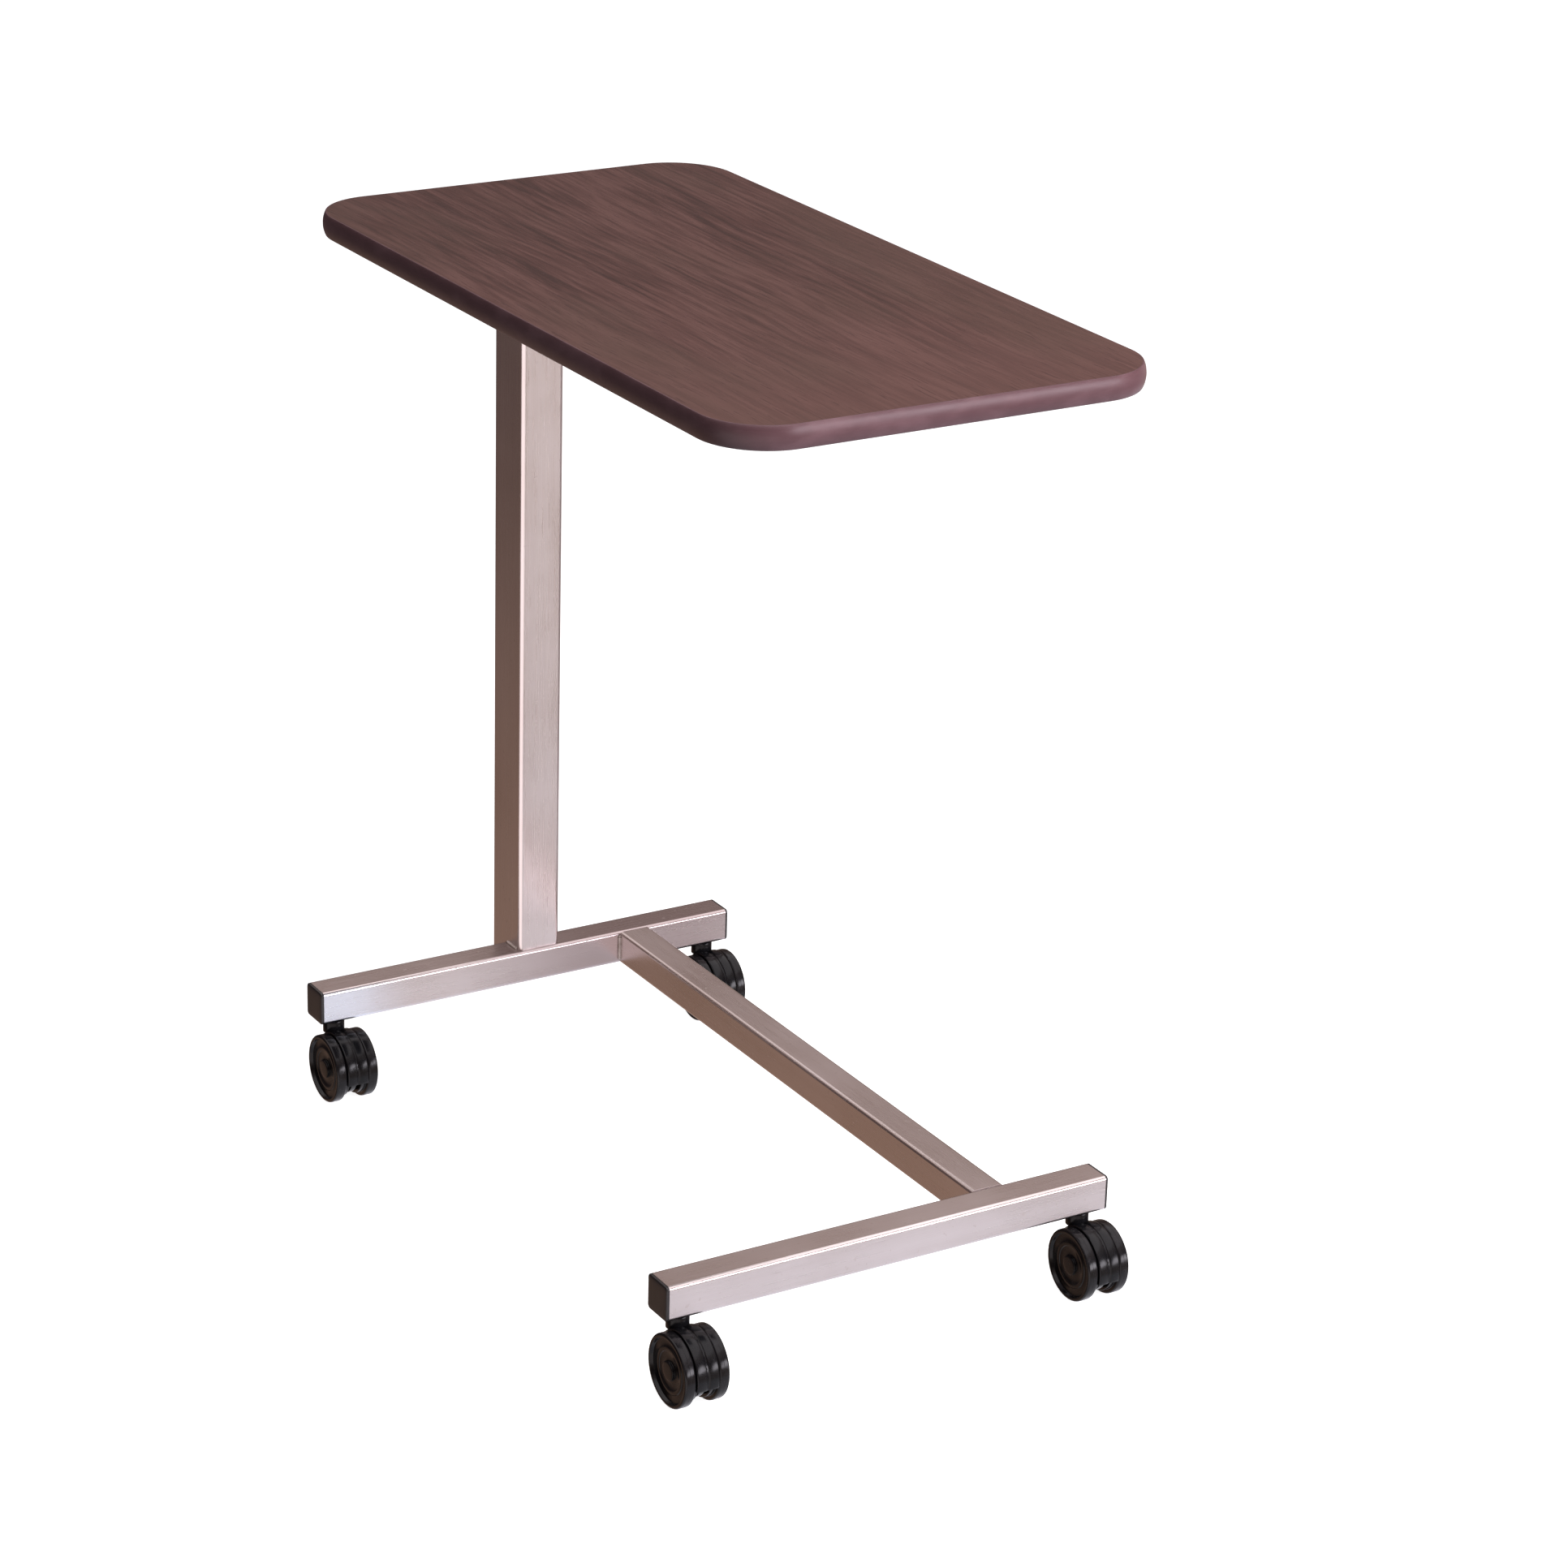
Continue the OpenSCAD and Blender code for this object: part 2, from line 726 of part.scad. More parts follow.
module head_pins() {
    reach = inner_x / 2 - head_pin_length / 2 - snug;
    color(steel)
        for (side = [-1, 1])
            translate([mast_x + side * reach, mast_y, head_z + head_thickness / 2])
                rotate([0, 90, 0])
                    cylinder(d = head_pin_diameter, h = head_pin_length - snug, center = true);
}

module valve_pin() {
    color(steel)
        translate([mast_x, mast_y, valve_pin_top - valve_pin_length]) {
            cylinder(d = valve_pin_diameter, h = valve_pin_length - valve_pin_diameter / 2);
            translate([0, 0, valve_pin_length - valve_pin_diameter / 2])
                sphere(d = valve_pin_diameter);
        }
}

// ---------------------------------------------------------------- bracket, rails and release lever

module support_bracket() {
    plate_width = 2 * rail_offset;
    ear_length = 2 * eye_radius + 2;
    ear_x = lever_width / 2 + ear_gap;
    color(dark_steel)
        difference() {
            union() {
                translate([mast_x - plate_back, mast_y - plate_width / 2, plate_z])
                    cube([plate_length, plate_width, plate_thickness]);
                for (side = [-1, 1])
                    translate([mast_x + side * (ear_x + ear_thickness / 2), pivot_y, pivot_z - ear_low])
                        translate([-ear_thickness / 2, -ear_length / 2, 0])
                            cube([ear_thickness, ear_length, plate_z - pivot_z + ear_low + cut]);
            }
            translate([mast_x, pivot_y, pivot_z])
                rotate([0, 90, 0])
                    cylinder(d = pivot_pin_diameter + 2 * snug, h = 4 * lever_width, center = true);
            for (p = bracket_screw_places)
                translate([p[0], p[1], plate_z - cut])
                    cylinder(d = screw_diameter + 2 * seat_gap, h = plate_thickness + 2 * cut);
        }
}

module lever_pivot_pin() {
    pin_length = lever_width + 2 * (ear_gap + ear_thickness);
    head_diameter = pivot_pin_diameter + 3;
    color(steel)
        translate([mast_x, pivot_y, pivot_z])
            rotate([0, 90, 0]) {
                cylinder(d = pivot_pin_diameter, h = pin_length, center = true);
                for (side = [-1, 1])
                    translate([0, 0, side * (pin_length + pin_head) / 2])
                        cylinder(d = head_diameter, h = pin_head, center = true);
            }
}

module release_lever() {
    start = mast_y - lever_tail - pivot_y;
    end = grip_end_y - grip_end_wall - pivot_y;
    half = lever_thickness / 2;
    bend_start = 14;
    bend_end = 30;
    color(dark_steel)
        translate([mast_x, pivot_y, pivot_z])
            difference() {
                union() {
                    rotate([90, 0, 90])
                        linear_extrude(lever_width, center = true)
                            polygon([
                                [start, -half], [bend_start, -half],
                                [bend_end, -half - lever_dip], [end, -half - lever_dip],
                                [end, half - lever_dip], [bend_end, half - lever_dip],
                                [bend_start, half], [start, half]
                            ]);
                    rotate([0, 90, 0])
                        cylinder(r = eye_radius, h = lever_width, center = true);
                }
                rotate([0, 90, 0])
                    cylinder(d = pivot_pin_diameter + 2 * turn_gap, h = lever_width + 2 * cut, center = true);
            }
}

module lever_grip() {
    grip_round = 4;
    fit_x = lever_width + 2 * snug;
    fit_z = lever_thickness + 2 * snug;
    color(black_plastic)
        translate([mast_x, grip_end_y - grip_length / 2, pivot_z - lever_dip])
            difference() {
                rotate([90, 0, 0])
                    linear_extrude(grip_length, center = true)
                        rounded_outline(grip_width, grip_height, grip_round);
                translate([-fit_x / 2, -grip_length / 2 - cut, -fit_z / 2])
                    cube([fit_x, grip_length - grip_end_wall + cut + snug, fit_z]);
            }
}

module rail(side) {
    rail_outline = [
        [-rail_width / 2, -rail_height], [-rail_width / 2, 0],
        [rail_width / 2, 0], [rail_width / 2, -rail_height],
        [rail_width / 2 - rail_wall, -rail_height], [rail_width / 2 - rail_wall, -rail_wall],
        [-rail_width / 2 + rail_wall, -rail_wall], [-rail_width / 2 + rail_wall, -rail_height]
    ];
    color(dark_steel)
        difference() {
            translate([rail_x0, mast_y + side * rail_mid, top_under])
                rotate([90, 0, 90])
                    linear_extrude(rail_length)
                        polygon(rail_outline);
            for (p = rail_screw_places)
                translate([p[0], p[1], top_under - rail_wall - cut])
                    cylinder(d = screw_diameter + 2 * seat_gap, h = rail_wall + 2 * cut);
        }
}

module support_rail_left() { rail(1); }

module support_rail_right() { rail(-1); }

// A pan-head wood screw, its head's upper side at z = 0 and its point up
module wood_screw(grip) {
    head_radius = screw_diameter;
    head_height = 2.4;
    head_slope = 1;
    recess = 1.2;
    recess_width = 1;
    tip_diameter = 0.8;
    length = grip + backer_thickness + screw_bite;
    difference() {
        union() {
            translate([0, 0, -head_height])
                cylinder(r1 = head_radius - head_slope, r2 = head_radius, h = head_height);
            cylinder(d = screw_diameter, h = length - screw_diameter);
            translate([0, 0, length - screw_diameter])
                cylinder(d1 = screw_diameter, d2 = tip_diameter, h = screw_diameter);
        }
        for (turn = [0, 90])
            translate([0, 0, -head_height])
                rotate([0, 0, turn])
                    cube([head_radius, recess_width, 2 * recess], center = true);
    }
}

module rail_screws() {
    color(steel)
        for (p = rail_screw_places)
            translate([p[0], p[1], top_under - rail_wall])
                wood_screw(rail_wall);
}

module bracket_screws() {
    color(steel)
        for (p = bracket_screw_places)
            translate([p[0], p[1], plate_z])
                wood_screw(plate_thickness);
}

// A bead that hangs below a plate, filling the corner on its +Y side
module hanging_bead(length) {
    rotate([-90, 0, 0])
        bead(length, weld_size);
}

module column_welds() {
    stitch = 30;
    color(steel) {
        // before and behind the head of the inner mast, under the plate
        for (end = [-1, 1])
            translate([mast_x + end * inner_x / 2, mast_y, plate_z])
                rotate([0, 0, -90 * end])
                    hanging_bead(inner_y - 2 * inner_corner);
        // stitches between the plate and the rails
        for (side = [-1, 1], end = [stitch, plate_length - stitch])
            translate([mast_x - plate_back + end, mast_y + side * rail_offset, plate_z])
                rotate([0, 0, side > 0 ? 180 : 0])
                    hanging_bead(stitch);
    }
}

// ---------------------------------------------------------------- tabletop

module slab(thickness, inset) {
    linear_extrude(thickness)
        rounded_outline(core_length - 2 * inset, core_width - 2 * inset, core_corner - inset);
}

module screw_holes(from_z, depth) {
    for (p = concat(rail_screw_places, bracket_screw_places))
        translate([p[0], p[1], from_z])
            cylinder(d = screw_diameter + 2 * snug, h = depth);
}

module tabletop_core() {
    groove = barb_thickness + 2 * groove_gap;
    color(board)
        difference() {
            translate([top_x, mast_y, core_z])
                slab(core_thickness, 0);
            // groove for the moulding's barb
            translate([top_x, mast_y, core_z + (core_thickness - groove) / 2])
                difference() {
                    slab(groove, -cut);
                    slab(groove, barb_depth + groove_gap);
                }
            screw_holes(core_z - cut, screw_bite + 2 * cut);
        }
}

module top_laminate() {
    color(walnut)
        translate([top_x, mast_y, laminate_z])
            slab(laminate_thickness, 0);
}

module backing_sheet() {
    color(backer_brown)
        difference() {
            translate([top_x, mast_y, top_under])
                slab(backer_thickness, 0);
            screw_holes(top_under - cut, backer_thickness + 2 * cut);
        }
}

// Section of the moulding: the core's edge at x = 0, outward is +X, mid height is y = 0
module moulding_section() {
    half = top_thickness / 2;
    face_radius = (half * half + moulding_bulge * moulding_bulge) / (2 * moulding_bulge);
    intersection() {
        translate([0, -half])
            square([moulding_depth, top_thickness]);
        translate([moulding_depth - face_radius, 0])
            circle(face_radius, $fn = 96);
    }
    translate([-barb_depth, -barb_thickness / 2 + core_middle])
        square([barb_depth + moulding_depth / 4, barb_thickness]);
}

module moulding_run(length) {
    rotate([90, 0, 0])
        linear_extrude(length, center = true)
            moulding_section();
}

module edge_moulding() {
    straight_x = core_length - 2 * core_corner;
    straight_y = core_width - 2 * core_corner;
    color(moulding_brown)
        translate([top_x, mast_y, top_under + top_thickness / 2])
            for (turn = [0, 180]) {
                rotate([0, 0, turn])
                    translate([core_length / 2, 0, 0])
                        moulding_run(straight_y);
                rotate([0, 0, turn + 90])
                    translate([core_width / 2, 0, 0])
                        moulding_run(straight_x);
                rotate([0, 0, turn])
                    translate([straight_x / 2, straight_y / 2, 0])
                        rotate_extrude(angle = 90)
                            translate([core_corner, 0])
                                moulding_section();
                rotate([0, 0, turn])
                    translate([straight_x / 2, -straight_y / 2, 0])
                        rotate([0, 0, -90])
                            rotate_extrude(angle = 90)
                                translate([core_corner, 0])
                                    moulding_section();
            }
}

rear_crossbar();
front_crossbar();
spine_tube();
base_welds();
end_cap_rear_left();
end_cap_rear_right();
end_cap_front_left();
end_cap_front_right();
outer_mast();
mast_foot_plate();
spring_seat();
mast_collar();
gas_spring_cylinder();
gas_spring_gland();
caster_sockets();
swivel_washers();
caster_stem_rear_left();
caster_stem_rear_right();
caster_stem_front_left();
caster_stem_front_right();
hood_rear_left();
axle_rear_left();
wheel_a_rear_left();
wheel_b_rear_left();
hood_rear_right();
axle_rear_right();
wheel_a_rear_right();
wheel_b_rear_right();
hood_front_left();
axle_front_left();
wheel_a_front_left();
wheel_b_front_left();
hood_front_right();
axle_front_right();
wheel_a_front_right();
wheel_b_front_right();
inner_mast();
lower_glide();
gas_spring_rod();
gas_spring_piston();
release_head();
head_pins();
support_bracket();
column_welds();
support_rail_left();
support_rail_right();
rail_screws();
bracket_screws();
lever_pivot_pin();
release_lever();
lever_grip();
valve_pin();
tabletop_core();
top_laminate();
backing_sheet();
edge_moulding();
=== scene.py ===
# Overbed table: an H-shaped base of square plated tubes on four twin-wheel casters, a
# telescoping column with a gas spring inside, and a woodgrain laminate top with a moulded
# edge. The sections follow the order in which the table is put together, from the floor up.
# Lengths are in metres. +X runs from the column to the open end, +Y is the side of the
# height release, and +Z is up.
import math

import bmesh
import bpy
from mathutils import Matrix, Vector


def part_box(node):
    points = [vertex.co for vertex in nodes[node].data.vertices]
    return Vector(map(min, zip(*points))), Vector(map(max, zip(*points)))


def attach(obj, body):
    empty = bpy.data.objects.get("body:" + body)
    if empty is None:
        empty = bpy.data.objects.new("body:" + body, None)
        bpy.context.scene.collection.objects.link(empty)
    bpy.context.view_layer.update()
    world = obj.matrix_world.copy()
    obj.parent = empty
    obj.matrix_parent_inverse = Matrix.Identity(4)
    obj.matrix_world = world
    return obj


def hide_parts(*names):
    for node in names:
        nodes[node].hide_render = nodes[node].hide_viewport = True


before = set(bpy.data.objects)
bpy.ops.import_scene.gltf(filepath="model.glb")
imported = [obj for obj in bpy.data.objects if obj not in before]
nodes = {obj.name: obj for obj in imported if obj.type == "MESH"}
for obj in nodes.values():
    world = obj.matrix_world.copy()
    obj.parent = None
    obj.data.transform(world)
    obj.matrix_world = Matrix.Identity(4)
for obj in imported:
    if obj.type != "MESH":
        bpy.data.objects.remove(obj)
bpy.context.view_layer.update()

# ------------------------------------------------------------------ camera and studio
# A pale floor without an edge, one tall window of light beyond the open end, one broad
# light overhead, and walls that are light on the window's side and brown on the other.

AZIMUTH = math.radians(58.602)
ELEVATION = math.radians(21.629)
ROLL = math.radians(1.659)
DISTANCE = 3.945
LENS = 104.05
SENSOR_WIDTH = 36
AIM = Vector((-0.001, 0, 0.4))
AIM_RIGHT, AIM_UP = 0.0793, -0.0136

back = Vector((
    math.sin(AZIMUTH) * math.cos(ELEVATION),
    -math.cos(AZIMUTH) * math.cos(ELEVATION),
    math.sin(ELEVATION),
))
level_right = (-back).cross(Vector((0, 0, 1))).normalized()
level_up = level_right.cross(-back)
tilted_right = math.cos(ROLL) * level_right + math.sin(ROLL) * level_up
tilted_up = math.cos(ROLL) * level_up - math.sin(ROLL) * level_right
aim = AIM + AIM_RIGHT * level_right + AIM_UP * level_up

camera_data = bpy.data.cameras.new("camera")
camera_data.lens = LENS
camera_data.sensor_width = SENSOR_WIDTH
camera = bpy.data.objects.new("camera", camera_data)
placing = Matrix((tilted_right, tilted_up, back)).transposed().to_4x4()
placing.translation = aim + DISTANCE * back
camera.matrix_world = placing
bpy.context.scene.collection.objects.link(camera)
bpy.context.scene.camera = camera
bpy.context.scene.view_settings.view_transform = "Standard"


class Socket:
    """The output of a shader node. An expression on it adds the Math nodes that work it out."""

    def __init__(self, tree, out):
        self.tree = tree
        self.out = out

    def maths(self, operation, *terms):
        return self.tree.node("ShaderNodeMath", {"operation": operation}, dict(enumerate(terms)))

    def __add__(self, other):
        return self.maths("ADD", self, other)

    def __sub__(self, other):
        return self.maths("SUBTRACT", self, other)

    def __rsub__(self, other):
        return self.maths("SUBTRACT", other, self)

    def __mul__(self, other):
        return self.maths("MULTIPLY", self, other)

    def __neg__(self):
        return self.maths("MULTIPLY", self, -1)

    __radd__ = __add__
    __rmul__ = __mul__

    def distance_from(self, value):
        return self.maths("ABSOLUTE", self - value)

    def between(self, low, high):
        """0 below low, 1 above high, and a smooth rise in between."""
        return self.tree.node(
            "ShaderNodeMapRange",
            {"interpolation_type": "SMOOTHSTEP"},
            {"Value": self, "From Min": low, "From Max": high},
        )


class Nodes:
    """A shader tree that grows by one call a node."""

    def __init__(self, tree):
        self.tree = tree

    def node(self, kind, settings=None, sockets=None, output=0):
        """Adds a node: its type, then its settings, then the values or links of its sockets."""
        made = self.tree.nodes.new(kind)
        for key, value in (settings or {}).items():
            if key == "stops":
                ramp = made.color_ramp
                while len(ramp.elements) < len(value):
                    ramp.elements.new(1)
                for element, (place, colour) in zip(ramp.elements, value):
                    element.position = place
                    element.color = (*colour, 1)
            else:
                setattr(made, key, value)
        for key, value in (sockets or {}).items():
            if isinstance(value, Socket):
                self.tree.links.new(value.out, made.inputs[key])
            else:
                made.inputs[key].default_value = value
        return Socket(self, made.outputs[output])

    def blend(self, share, first, second):
        """The first colour where share is 0, the second where it is 1."""
        settings = {"data_type": "RGBA"}
        sockets = {0: share, 6: rgba(first), 7: rgba(second)}
        return self.node("ShaderNodeMix", settings, sockets, output=2)

    def ramp(self, share, *stops):
        return self.node("ShaderNodeValToRGB", {"stops": stops}, {"Fac": share})


def rgba(colour):
    return colour if isinstance(colour, Socket) else (*colour, 1)


# directions in the room, colours, and the heights or turns over which one fades into the next
WINDOW_SIDE = (0.85, 0.52, 0.0)
WINDOW_GLOW = (13.0, 12.4, 13.4)
WINDOW_JAMBS = (0.93, 0.975)
WINDOW_SILL = (0.0, 0.06)
WINDOW_HEAD = (0.26, 0.34)
PALE_FLOOR_GLOW = (1.14, 1.12, 1.22)
PALE_WALL = (0.66, 0.53, 0.45)
PALE_SKIRTING = (-0.45, -0.31)
BROWN_FLOOR_GLOW = (0.43, 0.275, 0.205)
BROWN_WALL = (0.088, 0.064, 0.066)
BROWN_SKIRTING = (-0.46, -0.25)
PALE_TO_BROWN = (0.2, 0.75)
EYE_LEVEL = (-0.12, -0.04)
BESIDE_US = (0.64, -0.77, 0.0)
LIT_PANEL = (1.9, 1.7, 1.7)
PANEL_EDGE = (0.64, 0.74)
FAR_SIDE = (0.20, 0.98, 0.0)
DIM_DOORWAY = (0.34, 0.27, 0.27)
DOORWAY_EDGE = (0.78, 0.90)
LOW_CEILING = (0.17, 0.11, 0.098)
HIGH_CEILING = (0.76, 0.61, 0.56)
WALL_TO_CEILING = (0.0, 0.2)
CEILING_RISE = (0.40, 0.52)
LAMP_GLOW = (2.1, 1.95, 1.98)
LAMP_EDGE = (0.62, 0.72)
WHITE = (1.0, 1.0, 1.0)
FILL = (0.26, 0.25, 0.26)

world = bpy.data.worlds.new("studio")
world.use_nodes = True
bpy.context.scene.world = world
room = Nodes(world.node_tree)
toward = room.node("ShaderNodeTexCoord")
height = room.node("ShaderNodeSeparateXYZ", None, {0: toward}, output=2)


def facing(direction):
    """How nearly a direction in the room points this way: 1 when it does, 0 at right angles."""
    sockets = {0: toward, 1: direction}
    return room.node("ShaderNodeVectorMath", {"operation": "DOT_PRODUCT"}, sockets, output=1)


pale = room.blend(height.between(*PALE_SKIRTING), PALE_FLOOR_GLOW, PALE_WALL)
brown = room.blend(height.between(*BROWN_SKIRTING), BROWN_FLOOR_GLOW, BROWN_WALL)
around_us = room.blend((-facing(WINDOW_SIDE)).between(*PALE_TO_BROWN), pale, brown)
below_eye = 1 - height.between(*EYE_LEVEL)
panel = facing(BESIDE_US).between(*PANEL_EDGE) * below_eye
around_us = room.blend(panel, around_us, LIT_PANEL)
doorway = facing(FAR_SIDE).between(*DOORWAY_EDGE) * below_eye
around_us = room.blend(doorway, around_us, DIM_DOORWAY)
above_us = room.blend(height.between(*CEILING_RISE), LOW_CEILING, HIGH_CEILING)
around_us = room.blend(height.between(*WALL_TO_CEILING), around_us, above_us)
around_us = room.blend(height.between(*LAMP_EDGE), around_us, LAMP_GLOW)
window = facing(WINDOW_SIDE).between(*WINDOW_JAMBS)
window = window * height.between(*WINDOW_SILL) * (1 - height.between(*WINDOW_HEAD))
around_us = room.blend(window, around_us, WINDOW_GLOW)
# mirror-like surfaces see the room, soft ones an even fill, and the camera plain white
mirrored = room.node("ShaderNodeLightPath", output=3)
light = room.blend(mirrored, FILL, around_us)
seen = room.node("ShaderNodeLightPath")
light = room.blend(seen, light, WHITE)
background = world.node_tree.nodes["Background"]
world.node_tree.links.new(light.out, background.inputs["Color"])


def softbox(name, place, target, width, height, power, colour):
    data = bpy.data.lights.new(name, "AREA")
    data.shape = "RECTANGLE"
    data.size = width
    data.size_y = height
    data.energy = power
    data.color = colour
    box = bpy.data.objects.new(name, data)
    box.location = place
    box.rotation_euler = (Vector(target) - Vector(place)).to_track_quat("-Z", "Y").to_euler()
    # the walls and the ceiling already hold the lamps' mirror images
    box.visible_glossy = False
    bpy.context.scene.collection.objects.link(box)


softbox(
    "window", place=(2.6, 1.3, 1.45), target=(0, 0, 0.6),
    width=1.4, height=1.8, power=118, colour=(1.0, 0.96, 0.98),
)
softbox(
    "overhead", place=(1.4, 0.4, 2.7), target=(0, 0, 0.4),
    width=2.2, height=2.2, power=74, colour=(1.0, 0.98, 0.97),
)

FLOOR_RADIUS = 14.0
FLOOR_SIDES = 96
FLOOR_COLOUR = (0.55, 0.55, 0.55)
FLOOR_GLOW = 0.92

ground = bmesh.new()
bmesh.ops.create_circle(ground, cap_ends=True, radius=FLOOR_RADIUS, segments=FLOOR_SIDES)
ground_mesh = bpy.data.meshes.new("floor")
ground.to_mesh(ground_mesh)
ground.free()
floor = bpy.data.objects.new("floor", ground_mesh)
bpy.context.scene.collection.objects.link(floor)
# the floor is seen and takes shadows, but tints neither the plating nor the underside
floor.visible_glossy = False
floor.visible_diffuse = False


class Finish(Nodes):
    """One material: a principled shader, and the nodes that vary it over the surface."""

    def __init__(self, name, **sockets):
        self.material = bpy.data.materials.new(name)
        self.material.use_nodes = True
        super().__init__(self.material.node_tree)
        self.shader = self.tree.nodes["Principled BSDF"]
        self.place = self.node("ShaderNodeTexCoord", output=3)
        self.put(**sockets)

    def put(self, **sockets):
        """Sets the shader's sockets, such as base_color or coat_weight, to values or links."""
        for key, value in sockets.items():
            socket = self.shader.inputs[key.replace("_", " ").title().replace("Ior", "IOR")]
            if isinstance(value, Socket):
                self.tree.links.new(value.out, socket)
            elif isinstance(value, tuple):
                socket.default_value = (*value, 1)
            else:
                socket.default_value = value
        return self

    def stretched(self, scale):
        """The piece's own coordinates, times scale along each axis."""
        sockets = {0: self.place, 1: scale}
        return self.node("ShaderNodeVectorMath", {"operation": "MULTIPLY"}, sockets)

    def cloudy(self, scale, detail, warp=0.0):
        """Soft random patches; scale is how many of them go into a metre along each axis."""
        across = scale if isinstance(scale, tuple) else (scale, scale, scale)
        sockets = {
            "Vector": self.stretched(across), "Scale": 1, "Detail": detail, "Distortion": warp,
        }
        return self.node("ShaderNodeTexNoise", None, sockets)

    def raised(self, height, depth, share):
        """Feeds height, from 0 to 1, to the shader's normal as relief of that depth."""
        sockets = {"Height": height, "Distance": depth, "Strength": share}
        return self.put(normal=self.node("ShaderNodeBump", None, sockets))


floor_paint = Finish("pale_floor", roughness=0.9, specular_ior_level=0.0)
floor_paint.put(base_color=FLOOR_COLOUR, emission_color=WHITE, emission_strength=FLOOR_GLOW)
floor.data.materials.append(floor_paint.material)

# ------------------------------------------------------------------ base tubes and outer mast
# Square steel tube, cut and welded into an H, and a rectangular tube for the mast on its rear
# bar, polished lengthwise and plated. The plating is satin: a soft mirror with fine hairlines.

PLATE_LIGHT = (0.70, 0.66, 0.67)
PLATE_DARK = (0.48, 0.42, 0.40)
# painted reflection and painted shade for the rear crossbar: a cool pale tone further out, and
# brown near the spine
PAINTED_REFLECTION_COOL = (0.74, 0.79, 0.87)
PAINTED_SHADE_BROWN = (0.36, 0.30, 0.30)
# how many go into a metre: across the tube, and along it
HAIRLINES, HAIRLINES_ALONG = 1400, 14
BANDS, BANDS_ALONG = 70, 2
SMUDGES = 6
SPOTS = 260
SPOT_EDGE = (0.70, 0.76)
HAIR_DEPTH = 0.00003
# distances from the spine, in metres, over which the painted shade (brown) fades and the painted
# reflection (cool tone) sets in
PAINTED_SHADE_REACH = (0.04, 0.22)
PAINTED_REFLECTION_BEYOND = (0.23, 0.31)
PAINTED_REFLECTION_FACING = (0.5, 0.9)


def lengthwise(across, along, axis):
    """A pattern's scale: this many in a metre across the tube, and this many along its axis."""
    return tuple(along if i == axis else across for i in range(3))


def plated(name, axis, painted_shade_at=None):
    """Satin plating with hairlines along axis 0, 1 or 2; given a place on Y, painted shade in
    brown near it and a painted cool reflection on faces towards +X further off.
    """
    finish = Finish(name, metallic=1.0)
    hairlines = finish.cloudy(lengthwise(HAIRLINES, HAIRLINES_ALONG, axis), detail=2)
    bands = finish.cloudy(lengthwise(BANDS, BANDS_ALONG, axis), detail=2)
    smudges = finish.cloudy(SMUDGES, detail=4)
    spots = finish.cloudy(SPOTS, detail=1).between(*SPOT_EDGE)
    brightness = 0.25 * hairlines + 0.35 * bands + 1.1 * smudges - 0.34
    tone = finish.blend(brightness, PLATE_DARK, PLATE_LIGHT)
    # painted shade in brown near the spine, and a painted cool reflection on the faces towards +X
    # further along the bar
    if painted_shade_at is not None:
        across = finish.node("ShaderNodeSeparateXYZ", None, {0: finish.place}, output=1)
        away = across.distance_from(painted_shade_at) + 0.06 * smudges - 0.03
        normal = finish.node("ShaderNodeTexCoord", output=1)
        facing_x = finish.node("ShaderNodeSeparateXYZ", None, {0: normal}).between(*PAINTED_REFLECTION_FACING)
        tone = finish.blend(0.9 * facing_x * away.between(*PAINTED_REFLECTION_BEYOND), tone, PAINTED_REFLECTION_COOL)
        tone = finish.blend(0.85 - 0.85 * away.between(*PAINTED_SHADE_REACH), tone, PAINTED_SHADE_BROWN)
    finish.put(
        base_color=finish.blend(0.35 * spots, tone, PLATE_DARK),
        roughness=0.19 + 0.10 * hairlines + 0.09 * smudges + 0.1 * spots,
    )
    return finish.raised(hairlines, HAIR_DEPTH, 0.5)


def coat(name, finish):
    """Gives a CAD node this finish, and leaves its shape alone."""
    materials = nodes[name].data.materials
    materials.clear()
    materials.append(finish.material)


spine_low, spine_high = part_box("spine_tube")
plating_x = plated("plating_along_x", 0)
plating_y = plated("plating_along_y", 1)
plating_z = plated("plating_along_z", 2)
spine_middle_y = (spine_low.y + spine_high.y) / 2
# the rear crossbar gets painted shade near the spine and a painted reflection towards its ends
coat("rear_crossbar", plated("plating_with_painted_shade", 1, painted_shade_at=spine_middle_y))
coat("front_crossbar", plating_y)
coat("spine_tube", plating_x)
coat("outer_mast", plating_z)

# ------------------------------------------------------------------ weld beads of the base
# The beads are run by hand along each joint, in short overlapping puddles. They are plated
# with the frame, and stay rougher and browner than the polished tube.

MM = 0.001
BEAD_SIZE = 2.5 * MM
BEAD_PUDDLE = 1.7 * MM
PUDDLE_STEPS = 6
FEWEST_STEPS = 12
BEAD_ARC = 9
# a puddle's size between two crests, how much it swells, and how round its crest is
BEAD_VALLEY, BEAD_SWELL, BEAD_ROUNDNESS = 0.86, 0.12, 0.7
# the bead's size where it starts and stops, and how fast it fills out from there
BEAD_TIP, BEAD_FILLING = 0.45, 8
BEAD_CREASE = 60
SOFT_CREASE = 32
BEAD_BURNT = (0.22, 0.18, 0.16)
BEAD_CLEAN = (0.38, 0.33, 0.31)
BURNT_PATCHES = 160
BEAD_GRIT, GRIT_DEPTH = 1500, 0.0001
SAME_POINT = 1e-6
NO_LENGTH = 1e-7


def skin(mesh, rings, round_path=False):
    """Joins rings of equal length into a closed surface, and closes its ends."""
    rows = [[mesh.verts.new(p) for p in ring] for ring in rings]
    count = len(rings[0])
    pairs = list(zip(rows, rows[1:]))
    if round_path:
        pairs.append((rows[-1], rows[0]))
    for first, second in pairs:
        for i in range(count):
            j = (i + 1) % count
            mesh.faces.new((first[i], first[j], second[j], second[i]))
    if not round_path:
        mesh.faces.new(list(reversed(rows[0])))
        mesh.faces.new(rows[-1])


